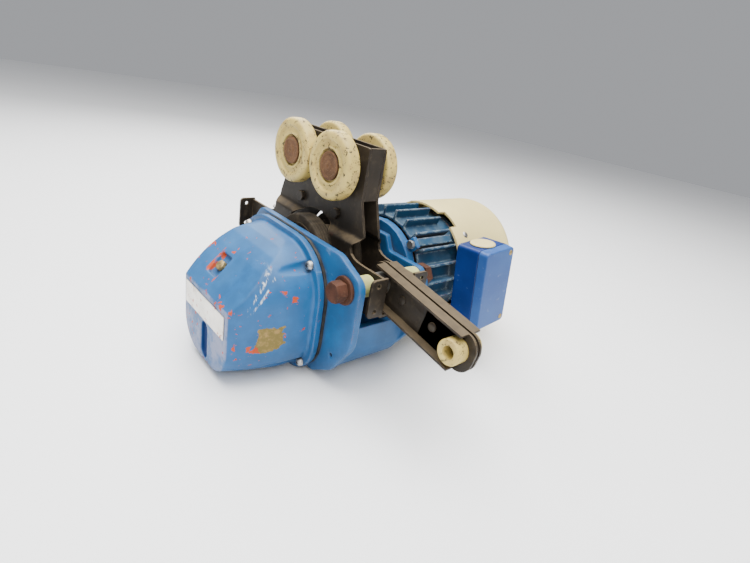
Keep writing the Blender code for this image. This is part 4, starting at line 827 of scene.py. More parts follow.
# ================================================================ gear cover and housing
COVER_SCREW_INSET = 0.0055
UPPER_RADIUS = 0.060
LOWER_RADIUS = 0.048
RIM_DEPTH = 0.008
RIM_STEP = 0.001        # depth of the rim that the hood's root keeps clear
HOOD_STEPS = 16
NOSE_SHIFT = 0.007      # how far the nose stands forward of the rim's middle
SLOT_HALF = 0.0082      # half the width of the slot in the nose
SLOT_DEPTH = 0.007
SLOT_FOOT, SLOT_HEAD = 0.020, 0.048
SCREW_POCKET = 0.0075
RECESS_ALONG, RECESS_ACROSS = 0.022, 0.017
SLOPE_RISE = 0.091      # height of the nose edge above the cover's foot
SLOPE = Vector((-1, 0, 1)).normalized()
SHOULDER = (            # how far up the slope each facet starts, and its normal's lean from upright
    (0.036, math.radians(36)), (0.043, math.radians(27)), (0.049, math.radians(18)),
)
HOOD = (                # share of depth, half width, foot and top insets, upper and lower corner radii
    (0.00, 0.0795, 0.0050, 0.0060, 0.055, 0.045),
    (0.35, 0.0755, 0.0055, 0.0100, 0.053, 0.044),
    (0.75, 0.0620, 0.0070, 0.0210, 0.046, 0.040),
    (1.00, 0.0520, 0.0100, 0.0310, 0.036, 0.035),
)


def hood_row(share):
    """The hood's section at a share of its depth, eased between the driving sections."""
    for before, after in zip(HOOD, HOOD[1:]):
        if share <= after[0]:
            part = (share - before[0]) / (after[0] - before[0])
            return [a + (b - a) * part for a, b in zip(before[1:], after[1:])]
    return list(HOOD[-1][1:])


def cover_outline(centre, half, low, high, upper, lower):
    """A rounded rectangle, with one radius for its upper corners and one for its lower."""
    corners = [(centre - half, low, lower), (centre + half, low, lower), (centre + half, high, upper),
               (centre - half, high, upper)]
    return filleted(corners, 16)


class HOIST_OT_gear_cover(Operator):
    """Cast hood over the gears, with its slot, plug recess and screw pockets"""

    bl_idname = "hoist.gear_cover"
    bl_label = "Gear cover"

    def execute(self, context):
        sizes = context.scene.hoist_sizes
        low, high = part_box("gear_cover")
        centre = (low.y + high.y) / 2
        half = (high.y - low.y) / 2
        seam = high.x - RIM_DEPTH
        outline = cover_outline(centre, half, low.z, high.z, UPPER_RADIUS, LOWER_RADIUS)
        rim = prism(outline, seam, high.x)
        rings = []
        for step in range(HOOD_STEPS + 1):
            share = step / HOOD_STEPS
            wide, foot, top, upper, lower = hood_row(share)
            x = seam + RIM_STEP + (low.x - seam - RIM_STEP) * share
            middle = centre - NOSE_SHIFT * share
            section = cover_outline(middle, wide, low.z + foot, high.z - top, upper, lower)
            rings.append([(x, y, z) for y, z in section])
        edge = Vector((low.x, 0, low.z + SLOPE_RISE))
        hood = sliced(loft(rings), edge, SLOPE)
        for rise, lean in SHOULDER:
            hood = sliced(hood, edge + Vector((rise, 0, rise)), Vector((-math.sin(lean), 0, math.cos(lean))))
        nose = centre - NOSE_SHIFT
        slot = arc(nose, low.z + SLOT_HEAD, SLOT_HALF, 0, 180, 12)
        slot += arc(nose, low.z + SLOT_FOOT, SLOT_HALF, 180, 360, 12)
        cutters = [prism(slot, low.x - 0.01, low.x + SLOT_DEPTH)]
        centre_of_recess = edge + Vector((RECESS_ALONG, nose + RECESS_ACROSS, RECESS_ALONG))
        along = Vector((1, 0, 1)).normalized()
        across = Vector((0, 1, 0))
        corners = [along * 0.013 + across * 0.0115, along * 0.013 - across * 0.0104,
                   -along * 0.013 - across * 0.0115, -along * 0.013 + across * 0.0080]
        cutters.append(loft([[centre_of_recess + corner + SLOPE * level for corner in corners]
                             for level in (0.004, -0.0055)]))
        for y, z in self.screw_places(centre, half, low.z, high.z):
            cutters.append(moved(rod(low.x, seam, SCREW_POCKET), y=y, z=z))
        piece = new_piece("gear_cover_hood", rim, "drive_unit", Vector())
        boolean(piece, "UNION", [hood], Vector())
        boolean(piece, "DIFFERENCE", cutters, Vector())
        soften(piece, sizes.casting_grain, 9)
        stand_for(piece, "gear_cover", finish_of("cover"))
        return {"FINISHED"}

    @staticmethod
    def screw_places(centre, half, low, high):
        """Where the four screws stand in the rim's rounded corners."""
        places = []
        for end in (-1, 1):
            for radius, z, up in ((UPPER_RADIUS, high, 1), (LOWER_RADIUS, low, -1)):
                reach = (radius - COVER_SCREW_INSET) * math.sqrt(0.5)
                places.append((centre + end * (half - radius) + end * reach, z - up * radius + up * reach))
        return places


WALL = 0.008
LAP = 0.001             # how far one solid reaches into the next, so that they unite
RIB_PLACES = (-0.060, -0.020, 0.020, 0.060)
RIB_HALF = 0.003
BEARING_BORE = 0.0233
LAYSHAFT_BORE = 0.0065
DRAIN_BORE = 0.0025
PIVOT_BORE = 0.0083     # radius of the pivot's hole through the castings, washer and spacers
SPRING_PLACE = 0.100    # how far behind the friction wheel the spring's boss stands
SPRING_BOSS = 0.011
SPRING_BORE = 0.0043


def gear_flange_outline():
    """The plate behind the gear cover, with the ear for the pivot bolt at its front."""
    corners = [(-0.100, 0.035, 0.012), (-0.139, 0.018, 0.014), (-0.139, -0.055, 0.030),
               (-0.112, -0.096, 0.020), (-0.080, -0.116, 0.020), (0.066, -0.116, 0.040),
               (0.0855, -0.070, 0.030), (0.0855, 0.000, 0.030), (0.058, 0.035, 0.012)]
    return filleted(corners)


def motor_flange_outline():
    """The plate beside the motor, with its own ear for the pivot bolt."""
    corners = [(-0.061, 0.033, 0.004), (-0.071, 0.016, 0.004), (-0.122, 0.016, 0.008),
               (-0.133, 0.002, 0.008), (-0.133, -0.055, 0.020), (-0.108, -0.092, 0.020),
               (-0.080, -0.114, 0.020), (0.070, -0.114, 0.035), (0.088, -0.060, 0.020),
               (0.080, 0.000, 0.020), (0.045, 0.033, 0.012)]
    return filleted(corners)


def trough_outline():
    """The wall that joins the two plates under the friction wheel."""
    outer = filleted([(-0.114, -0.050, 0.0), (-0.114, -0.114, 0.040), (0.106, -0.114, 0.040),
                      (0.106, -0.0303, 0.0)])
    inner = filleted([(0.098, -0.0303, 0.0), (0.098, -0.106, 0.032), (-0.106, -0.106, 0.032),
                      (-0.106, -0.050, 0.0)])
    return outer + inner


class HOIST_OT_housing(Operator):
    """Cast housing: two flanges joined by the trough under the friction wheel"""

    bl_idname = "hoist.housing"
    bl_label = "Main housing"

    def execute(self, context):
        sizes = context.scene.hoist_sizes
        low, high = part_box("main_housing")
        x0, x1 = low.x - MIDDLE.x, high.x - MIDDLE.x
        piece = new_piece("housing_casting", prism(gear_flange_outline(), x0, x0 + WALL), "drive_unit")
        upright = Matrix.Rotation(math.pi / 2, 3, "Y")
        inside = (x0 + WALL - LAP, x1 - WALL + LAP)
        ribs = [block(*inside, y - RIB_HALF, y + RIB_HALF, -0.1105, -0.098) for y in RIB_PLACES]
        boss = moved(rod(0.0303, 0.075, SPRING_BOSS), y=SPRING_PLACE, turn=upright)
        boolean(piece, "UNION", [prism(trough_outline(), *inside),
                                 prism(motor_flange_outline(), x1 - WALL, x1), boss] + ribs)
        wheel_z = WHEEL_AXIS.z - MIDDLE.z
        lay_z = joint_place("layshaft_spin").z - MIDDLE.z
        pivot = {"y": PIVOT.y - MIDDLE.y, "z": PIVOT.z - MIDDLE.z}
        cutters = [moved(rod(x0 - 0.01, x1 + 0.01, BEARING_BORE, 64), z=wheel_z),
                   moved(rod(x0 - 0.01, x0 + 0.02, LAYSHAFT_BORE), z=lay_z),
                   moved(rod(x0 - 0.01, x0 + 0.02, DRAIN_BORE), y=-0.110, z=-0.077),
                   moved(rod(x0 - 0.01, x1 + 0.01, PIVOT_BORE, 48), **pivot),
                   moved(rod(0.020, 0.0463, SPRING_BORE, 32), y=SPRING_PLACE, turn=upright)]
        boolean(piece, "DIFFERENCE", cutters)
        soften(piece, sizes.casting_grain, 4)
        stand_for(piece, "main_housing", finish_of("casting"))
        shield = soften(frame_copy("motor_end_shield_front"), sizes.casting_grain, 4)
        stand_for(shield, "motor_end_shield_front", finish_of("casting"))
        return {"FINISHED"}


# ================================================================ bolts and small turned pieces
CHAMFER_SHARE, CHAMFER_REACH = 0.18, 0.90   # shares of a head's depth and of its radius
BOLT_RADIUS = 0.008


def hex_head(x0, x1, radius):
    """A hexagon head whose outer corners are turned off at x0."""
    steps = 72
    rings = []
    chamfer = x0 + (x1 - x0) * CHAMFER_SHARE
    for x, reach in ((x1, radius), (chamfer, radius), (x0, radius * CHAMFER_REACH)):
        ring = []
        for step in range(steps):
            angle = 2 * math.pi * step / steps
            flat = radius * math.cos(math.pi / 6) / math.cos((angle % (math.pi / 3)) - math.pi / 6)
            ring.append((x, min(flat, reach) * math.cos(angle), min(flat, reach) * math.sin(angle)))
        rings.append(ring)
    return loft(rings)


def rounded_profile(corners, steps=5):
    """A turned profile from (x, r, radius) corners."""
    return filleted(corners, steps)


def pan_screw(x0, x1, radius):
    """A domed screw head between x0, its crown, and x1."""
    depth = x1 - x0
    profile = [(x1, 0.0), (x1, radius)]
    for step in range(1, 7):
        angle = math.radians(90 * step / 6)
        profile.append((x1 - depth * math.sin(angle), radius * math.cos(angle) ** 0.6))
    profile[-1] = (x0, 0.0)
    return turned(profile, 32)


class HOIST_OT_pivot(Operator):
    """Rusty pivot bolt with its washer, nut and plastic spacers"""

    bl_idname = "hoist.pivot"
    bl_label = "Pivot bolt"

    def execute(self, context):
        sizes = context.scene.hoist_sizes
        steps = sizes.round_steps
        at = Vector((0, PIVOT.y, PIVOT.z))
        low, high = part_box("pivot_bolt")
        washer_low, washer_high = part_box("pivot_washer")
        radius = (high.y - low.y) / 2
        head = hex_head(low.x, washer_low.x - 0.0003, radius)
        shank = rod(washer_low.x - LAP, high.x - LAP, BOLT_RADIUS, 48)
        tip_root = high.x - 0.0015
        tip = turned([(tip_root, 0), (tip_root, BOLT_RADIUS), (high.x, 0.0066), (high.x, 0)], 48)
        bolt = new_piece("pivot_bolt_finished", head, "drive_unit", at)
        boolean(bolt, "UNION", [shank, tip], at)
        bevelled(bolt, sizes.sheet_edge)
        stand_for(bolt, "pivot_bolt", finish_of("rust"))
        outer = (washer_high.y - washer_low.y) / 2
        ring = [(washer_low.x, PIVOT_BORE, 0), (washer_low.x, outer, 0.0010), (washer_high.x, outer, 0.0008),
                (washer_high.x, PIVOT_BORE, 0)]
        washer = new_piece("pivot_washer_finished", turned(rounded_profile(ring), steps), "drive_unit", at)
        smooth(washer, 40)
        stand_for(washer, "pivot_washer", finish_of("rust"))
        nut = bevelled(frame_copy("pivot_nut"), sizes.sheet_edge)
        stand_for(nut, "pivot_nut", finish_of("rust"))
        for word in ("left", "right"):
            node = "pivot_spacer_" + word
            low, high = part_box(node)
            outer = (high.y - low.y) / 2
            ring = [(low.x, PIVOT_BORE, 0), (low.x, outer, 0.0016), (high.x, outer, 0.0016),
                    (high.x, PIVOT_BORE, 0)]
            spacer = new_piece(node + "_finished", turned(rounded_profile(ring), steps), "drive_unit", at)
            smooth(spacer, 40)
            stand_for(spacer, node, finish_of("spacer"))
        return {"FINISHED"}


SCREW_DEPTH = 0.005
DRIVER_HALF, DRIVER_REACH, DRIVER_DEPTH = 0.0005, 0.0028, 0.0016
LABEL_SCREW_INSET = 0.005


class HOIST_OT_cover_screws(Operator):
    """Domed screws round the cover and on the blank label, and the oil plug"""

    bl_idname = "hoist.cover_screws"
    bl_label = "Cover screws"

    def execute(self, context):
        for number in range(1, 5):
            node = "cover_screw_%d" % number
            low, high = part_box(node)
            at = Vector((0, (low.y + high.y) / 2, (low.z + high.z) / 2))
            radius = (high.y - low.y) / 2
            shape = pan_screw(low.x, low.x + SCREW_DEPTH, radius)
            screw = new_piece(node + "_finished", shape, "drive_unit", at)
            driver = [block(low.x - 0.001, low.x + DRIVER_DEPTH, -y, y, -z, z)
                      for y, z in ((DRIVER_REACH, DRIVER_HALF), (DRIVER_HALF, DRIVER_REACH))]
            boolean(screw, "DIFFERENCE", driver, at)
            smooth(screw, 35)
            stand_for(screw, node, finish_of("metal"))
        low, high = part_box("blank_label")
        label = bevelled(frame_copy("blank_label"), 0.0003)
        stand_for(label, "blank_label", finish_of("label"))
        for side, y in (("front", low.y + LABEL_SCREW_INSET), ("rear", high.y - LABEL_SCREW_INSET)):
            at = Vector((0, y, (low.z + high.z) / 2))
            head = pan_screw(low.x + 0.00005, low.x + 0.0006, 0.0030)
            screw = new_piece("label_screw_" + side, head, "drive_unit", at)
            smooth(screw)
            stand_for(screw, None, finish_of("metal"))
        plug = bevelled(frame_copy("oil_plug"), 0.0004)
        stand_for(plug, "oil_plug", finish_of("brass"))
        return {"FINISHED"}


# ================================================================ trolley
NECK_HALF = 0.012       # half the width of the frame at its neck, outside
PLATE_HALF = 0.022      # half the width of the frame lower down, outside
JOGGLE = (0.033, 0.043)     # heights between which the side plates bend inwards
JOGGLE_STEPS = 6
TAB_REACH = 0.018
TAB_HALF = 0.021
TAB_HOLE, TAB_HOLE_RISE = 0.0025, 0.014
AXLE_HOLE, AXLE_HALF = 0.0078, 0.037
HANGER_HOLE, HANGER_HALF, HANGER_RISE = 0.0043, 0.035, 0.0545
BOLT_HOLE = 0.0085
ARCH = 0.056            # radius of the arch over the friction wheel
FOOT = -0.030           # height of the plates' lower edge


def side_outline(end):
    """A side plate's edge: the arch over the friction wheel, the foot, the tab and the neck."""
    wheel_z = WHEEL_AXIS.z - MIDDLE.z
    foot = -math.degrees(math.asin((wheel_z - FOOT) / ARCH))
    half = arc(0, wheel_z, ARCH, 90, 180 - foot, 28)
    half += [(-end + 0.012, FOOT), (-end + 0.003, -TAB_HALF), (-end + 0.003, 0.019), (-0.102, 0.019)]
    half += [(-0.093, 0.0195), (-0.086, 0.021), (-0.080, 0.0245), (-0.0775, 0.030), (-0.079, 0.0345)]
    half += [(-0.0835, 0.039), (-0.085, 0.043), (-0.084, 0.048), (-0.0745, 0.074), (-0.073, 0.080)]
    half += [(-0.073, 0.131), (-0.0722, 0.1333), (-0.070, 0.134)]
    return half


class HOIST_OT_side_plates(Operator):
    """Bent side plates of the trolley with their end tabs, end plates and floor plates"""

    bl_idname = "hoist.side_plates"
    bl_label = "Trolley frame"

    def execute(self, context):
        sizes = context.scene.hoist_sizes
        sheet = sizes.plate
        for side, word in ((-1, "left"), (1, "right")):
            node = "side_plate_" + word
            low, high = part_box(node)
            end = (high.y - low.y) / 2
            half = side_outline(end)
            outline = half + [(-y, z) for y, z in reversed(half[1:])]
            bm = prism(outline, side * (PLATE_HALF - sheet), side * PLATE_HALF)
            for step in range(JOGGLE_STEPS + 1):
                height = JOGGLE[0] + (JOGGLE[1] - JOGGLE[0]) * step / JOGGLE_STEPS
                bmesh.ops.bisect_plane(bm, geom=bm.verts[:] + bm.edges[:] + bm.faces[:],
                                       plane_co=(0, 0, height), plane_no=(0, 0, 1), dist=1e-7)
            for vert in bm.verts:
                share = max(0.0, min(1.0, (vert.co.z - JOGGLE[0]) / (JOGGLE[1] - JOGGLE[0])))
                vert.co.x -= side * (PLATE_HALF - NECK_HALF) * share * share * (3 - 2 * share)
            piece = new_piece(node + "_finished", bm, "trolley")
            boolean(piece, "UNION", self.tabs(side, end, sheet))
            boolean(piece, "DIFFERENCE", self.drills(side, end))
            bevelled(piece, sizes.sheet_edge, 2)
            stand_for(piece, node, finish_of("steel"))
        for node in ("end_plate_front", "end_plate_rear", "floor_plate_front", "floor_plate_rear"):
            stand_for(bevelled(frame_copy(node), sizes.sheet_edge), node, finish_of("steel"))
        return {"FINISHED"}

    @staticmethod
    def tabs(side, end, sheet):
        """The two end tabs of a side plate, bent outwards."""
        outer = PLATE_HALF + TAB_REACH
        inner = PLATE_HALF - sheet
        corners = [(inner, -TAB_HALF, 0), (outer, -TAB_HALF, 0.005), (outer, TAB_HALF, 0.005),
                   (inner, TAB_HALF, 0)]
        outline = filleted(corners, 6)
        made = []
        for way in (-1, 1):
            rows = sorted((way * end, way * (end - sheet)))
            made.append(loft([[(side * x, y, z) for x, z in outline] for y in rows]))
        return made

    @staticmethod
    def drills(side, end):
        """Rods that cut the holes for tabs, axles, hanger bolts and the pivot."""
        along_y = Matrix.Rotation(math.pi / 2, 3, "Z")
        made = [moved(rod(-end - 0.01, end + 0.01, TAB_HOLE, 24), x=side * (PLATE_HALF + TAB_REACH / 2), z=z,
                      turn=along_y) for z in (-TAB_HOLE_RISE, TAB_HOLE_RISE)]
        reach = PLATE_HALF + 0.01
        axle_z = joint_place("roller_front_left_spin").z - MIDDLE.z
        made += [moved(rod(-reach, reach, AXLE_HOLE), y=y, z=axle_z) for y in (-AXLE_HALF, AXLE_HALF)]
        for y in (-HANGER_HALF, HANGER_HALF):
            made.append(moved(rod(-reach, reach, HANGER_HOLE), y=y, z=HANGER_RISE))
        made.append(moved(rod(-reach, reach, BOLT_HOLE), y=PIVOT.y - MIDDLE.y, z=PIVOT.z - MIDDLE.z))
        return made


TREAD_WIDTH = 0.0165
AXLE_RADIUS = 0.008


class HOIST_OT_wheels(Operator):
    """Four nylon trolley wheels on axles with wide rusty heads"""

    bl_idname = "hoist.wheels"
    bl_label = "Trolley wheels"

    def execute(self, context):
        sizes = context.scene.hoist_sizes
        for row in ("front", "rear"):
            axle_low, axle_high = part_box("axle_" + row)
            at = Vector((MIDDLE.x, (axle_low.y + axle_high.y) / 2, (axle_low.z + axle_high.z) / 2))
            for side, word in ((-1, "left"), (1, "right")):
                node = "trolley_wheel_%s_%s" % (row, word)
                low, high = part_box(node)
                radius = (high.z - low.z) / 2
                outer = (MIDDLE.x - low.x) if side < 0 else (high.x - MIDDLE.x)
                inner = outer - TREAD_WIDTH
                boss = (MIDDLE.x - high.x) if side < 0 else (low.x - MIDDLE.x)
                floor = outer - 0.0047
                corners = [(boss, AXLE_RADIUS, 0), (boss, 0.0105, 0.0006), (inner, 0.0115, 0.0006),
                           (inner, radius, 0.0038), (outer, radius, 0.0048), (outer, radius - 0.0085, 0.0012),
                           (outer - 0.0028, radius - 0.0105, 0.0014), (outer - 0.0028, 0.0210, 0.0010),
                           (outer - 0.0016, 0.0200, 0.0006), (outer - 0.0016, 0.0178, 0.0006),
                           (floor, 0.0168, 0.0006), (floor, AXLE_RADIUS, 0)]
                profile = [(side * x, r) for x, r in rounded_profile(corners, 5)]
                wheel = new_piece(node + "_finished", turned(profile, sizes.round_steps),
                                  "roller_%s_%s" % (row, word), at)
                smooth(wheel, 50)
                stand_for(wheel, node, finish_of("nylon"))
            self.axle(row, at, (axle_high.x - axle_low.x) / 2, (axle_high.z - axle_low.z) / 2, sizes)
        return {"FINISHED"}

    @staticmethod
    def axle(row, at, reach, head, sizes):
        """One axle: its two heads are turned with a groove and a centre mark."""
        seat = reach - 0.0034
        half = [(seat, 0.0075, 0), (seat, head, 0.0004), (reach, head, 0.0012),
                (reach, head - 0.0030, 0.0004), (reach - 0.0007, head - 0.0038, 0.0003),
                (reach - 0.0007, 0.0052, 0.0004),
                (reach, 0.0045, 0.0004), (reach, 0.0022, 0.0003), (reach - 0.0012, 0.0, 0)]
        right = rounded_profile([(seat, 0.0, 0)] + half, 4)[1:]
        profile = [(-x, r) for x, r in reversed(right)] + right
        axle = new_piece("axle_%s_finished" % row, turned(profile, sizes.round_steps), "trolley", at)
        smooth(axle, 40)
        stand_for(axle, "axle_" + row, finish_of("axle"))
        node = "hanger_bolt_" + row
        stand_for(bevelled(frame_copy(node), sizes.sheet_edge), node, finish_of("steel"))


TREAD_DEPTH = 0.0097
GROOVE_HALF, GROOVE_DEPTH, GROOVE_BANDS = 0.0005, 0.0006, 5


class HOIST_OT_friction_wheel(Operator):
    """Friction wheel: a turned hub with two ground treads"""

    bl_idname = "hoist.friction_wheel"
    bl_label = "Friction wheel"

    def execute(self, context):
        sizes = context.scene.hoist_sizes
        steps = sizes.round_steps
        at = Vector((0, WHEEL_AXIS.y, WHEEL_AXIS.z))
        for word in ("left", "right"):
            node = "friction_tyre_" + word
            low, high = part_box(node)
            outer = (high.z - low.z) / 2
            inner = outer - TREAD_DEPTH
            corners = [(low.x, inner, 0), (low.x, outer, 0.0022)]
            for groove in range(1, GROOVE_BANDS):
                x = low.x + (high.x - low.x) * groove / GROOVE_BANDS
                corners += [(x - GROOVE_HALF, outer, 0.0003), (x, outer - GROOVE_DEPTH, 0.0003),
                            (x + GROOVE_HALF, outer, 0.0003)]
            corners += [(high.x, outer, 0.0022), (high.x, inner, 0)]
            tread = turned(rounded_profile(corners, 3), steps)
            tyre = new_piece(node + "_finished", tread, "drive_wheel", at)
            smooth(tyre, 45)
            stand_for(tyre, node, finish_of("tread"))
        hub = bevelled(frame_copy("friction_wheel_hub"), sizes.sheet_edge)
        stand_for(hub, "friction_wheel_hub", finish_of("steel"))
        return {"FINISHED"}


# ================================================================ arm
ARM_TRIM = 0.0004       # keeps the rounded end inside the frame's coarser one
ARM_HALF = 0.021        # half the channels' height
ARM_GAP = 0.0015        # half the space between the channels' backs
ARM_PIVOT_BORE, ARM_EYE_BORE = 0.0123, 0.0133
ARM_EDGE = 0.8          # share of the sheet edge's rounding
RIVET_SHARES = (0.30, 0.70)
RIVET_DEPTH, RIVET_RADIUS = 0.0024, 0.0052


class HOIST_OT_arm(Operator):
    """Coupling arm: two channels back to back with a nylon eye bush"""

    bl_idname = "hoist.arm"
    bl_label = "Coupling arm"

    def execute(self, context):
        sizes = context.scene.hoist_sizes
        eye_low, eye_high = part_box("arm_eye_bush")
        eye = Vector((0, (eye_low.y + eye_high.y) / 2, (eye_low.z + eye_high.z) / 2))
        run = Vector((0, PIVOT.y - eye.y, PIVOT.z - eye.z))
        slope = math.atan2(run.z, run.y)
        reach = run.length
        half = ARM_HALF
        turn = Matrix.Rotation(slope, 3, "X")
        at = Vector((MIDDLE.x, PIVOT.y, PIVOT.z))
        sheet = sizes.arm_sheet
        for side, word in ((-1, "left"), (1, "right")):
            node = "arm_channel_" + word
            low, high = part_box(node)
            outer = high.x - MIDDLE.x if side > 0 else MIDDLE.x - low.x
            inner = ARM_GAP
            tail = half * 0.95
            nose = tail - ARM_TRIM
            web = filleted([(tail, -half, half * 0.75), (-reach - nose, -half, half * 0.75),
                            (-reach - nose, half, half * 0.75), (tail, half, half * 0.75)], 12)
            channel = moved(prism(web, side * inner, side * (inner + sheet)), turn=turn)
            piece = new_piece(node + "_finished", channel, "arm", at)
            flanges = []
            for up in (-1, 1):
                z0, z1 = sorted((up * half, up * (half - sheet)))
                flange = filleted([(0.006, z0, 0.0004), (-reach - 0.004, z0, 0.0004),
                                   (-reach - 0.004, z1, 0.0004), (0.006, z1, 0.0004)], 2)
                flanges.append(moved(prism(flange, side * (inner + sheet - LAP), side * outer), turn=turn))
            boolean(piece, "UNION", flanges, at)
            eye_hole = moved(rod(-0.02, 0.02, ARM_EYE_BORE, 64), y=-reach)
            holes = [moved(hole, turn=turn) for hole in (rod(-0.02, 0.02, ARM_PIVOT_BORE, 64), eye_hole)]
            boolean(piece, "DIFFERENCE", holes, at)
            bevelled(piece, sizes.sheet_edge * ARM_EDGE, 2)
            piece.data.shade_flat()
            stand_for(piece, node, finish_of("steel"))
            for number, share in enumerate(RIVET_SHARES, 1):
                x = side * (inner + sheet)
                head = pan_screw(-RIVET_DEPTH, 0.0, RIVET_RADIUS)
                if side > 0:
                    bmesh.ops.scale(head, vec=(-1, 1, 1), verts=head.verts)
                    bmesh.ops.reverse_faces(head, faces=head.faces)
                head = moved(moved(head, x=x, y=-reach * share), turn=turn)
                rivet = new_piece("arm_rivet_%s_%d" % (word, number), head, "arm", at)
                smooth(rivet)
                stand_for(rivet, None, finish_of("steel"))
        outer = (eye_high.z - eye_low.z) / 2
        bore = 0.0065
        corners = [(eye_low.x, bore, 0.0008), (eye_low.x, outer, 0.0018), (eye_high.x, outer, 0.0018),
                   (eye_high.x, bore, 0.0008)]
        shape = turned(rounded_profile(corners), sizes.round_steps)
        bush = new_piece("arm_eye_bush_finished", shape, "arm", eye)
        smooth(bush, 50)
        stand_for(bush, "arm_eye_bush", finish_of("nylon"))
        return {"FINISHED"}


# ================================================================ motor
MOTOR_SCREW_CIRCLE = 0.0735
LUG_DEPTH = 0.006
CORNERS = [math.radians(45 + 90 * number) for number in range(4)]


class HOIST_OT_motor(Operator):
    """Finned motor frame with its screws"""

    bl_idname = "hoist.motor"
    bl_label = "Motor"

    def execute(self, context):
        sizes = context.scene.hoist_sizes
        body = soften(frame_copy("motor_frame"), sizes.fin_grain, 3)
        stand_for(body, "motor_frame", finish_of("motor"))
        rear = bevelled(frame_copy("motor_end_shield_rear"), sizes.sheet_edge)
        stand_for(rear, "motor_end_shield_rear", finish_of("motor"))
        lug_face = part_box("motor_frame")[0].x - LUG_DEPTH
        for number, angle in enumerate(CORNERS, 1):
            at = Vector((0, MOTOR_AXIS.y + MOTOR_SCREW_CIRCLE * math.cos(angle),
                         MOTOR_AXIS.z + MOTOR_SCREW_CIRCLE * math.sin(angle)))
            head = hex_head(lug_face - 0.0042, lug_face - 0.0002, 0.0052)
            screw = new_piece("motor_screw_%d" % number, head, "drive_unit", at)
            smooth(screw, 25)
            stand_for(screw, None, finish_of("metal"))
        return {"FINISHED"}


COVER_WALL = 0.0025
DOME_DEPTH = 0.048
RIM_NOTCHES = ((108, 126), (288, 306), (54, 72))    # degrees round the rim
NOTCH_DEPTH = 0.012
VENT_COUNT = 6
VENT_START, VENT_END, VENT_HALF, VENT_ROUND = 0.018, 0.058, 0.003, 0.0028


class HOIST_OT_fan_cover(Operator):
    """Spun cream cover over the fan, with notches at its rim and slots in its dome"""

    bl_idname = "hoist.fan_cover"
    bl_label = "Fan cover"

    def execute(self, context):
        sizes = context.scene.hoist_sizes
        low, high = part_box("fan_cover")
        at = Vector((0, MOTOR_AXIS.y, MOTOR_AXIS.z))
        radius = (high.z - low.z) / 2
        dome_foot = high.x - DOME_DEPTH
        outside = [(low.x, radius)] + self.quarter(dome_foot, high.x, radius)
        inside = [(low.x, radius - COVER_WALL)]
        inside += self.quarter(dome_foot, high.x - COVER_WALL, radius - COVER_WALL)
        shell = turned(outside + inside[::-1], sizes.round_steps)
        cover = new_piece("fan_cover_finished", shell, "drive_unit", at)
        cuts = []
        for start, end in RIM_NOTCHES:
            wedge = [(0, 0)] + arc(0, 0, 2 * radius, start, end, 6)
            cuts.append(prism(wedge, low.x - 0.01, low.x + NOTCH_DEPTH))
        for number in range(VENT_COUNT):
            vent = filleted([(VENT_START, -VENT_HALF, VENT_ROUND), (VENT_END, -VENT_HALF, VENT_ROUND),
                             (VENT_END, VENT_HALF, VENT_ROUND), (VENT_START, VENT_HALF, VENT_ROUND)], 5)
            opening = prism(vent, dome_foot, high.x + 0.01)
            turn = Matrix.Rotation(2 * math.pi * (number + 0.5) / VENT_COUNT, 3, "X")
            cuts.append(moved(opening, turn=turn))
        box_low, box_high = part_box("terminal_box")
        cuts.append(block(low.x - 0.01, box_high.x + 0.002,
                          box_low.y - 0.03 - at.y, box_high.y + 0.006 - at.y,
                          box_low.z - 0.001 - at.z, box_high.z + 0.002 - at.z))
        boolean(cover, "DIFFERENCE", cuts, at)
        bevelled(cover, 0.0006, 2)
        stand_for(cover, "fan_cover", finish_of("cream"))
        for number, angle in enumerate(CORNERS, 1):
            turn = Matrix.Rotation(angle, 3, "X") @ Matrix.Rotation(math.pi / 2, 3, "Z")
            head = pan_screw(-radius - 0.0016, -radius + 0.0004, 0.0042)
            head = moved(moved(head, turn=Matrix.Rotation(math.pi, 3, "Z")), turn=turn)
            place = at + Vector((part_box("motor_end_shield_rear")[1].x - 0.004, 0, 0))
            screw = new_piece("fan_cover_screw_%d" % number, head, "drive_unit", place)
            smooth(screw)
            stand_for(screw, None, finish_of("metal"))
        return {"FINISHED"}

    @staticmethod
    def quarter(start, end, radius):
        """The dome's profile, a quarter of an ellipse that ends on the axis."""
        points = []
        for step in range(25):
            angle = math.radians(90 * step / 24)
            points.append((start + (end - start) * math.sin(angle), radius * math.cos(angle)))
        points[-1] = (end, 0.0)
        return points


LID_SCREW_INSET = 0.0065


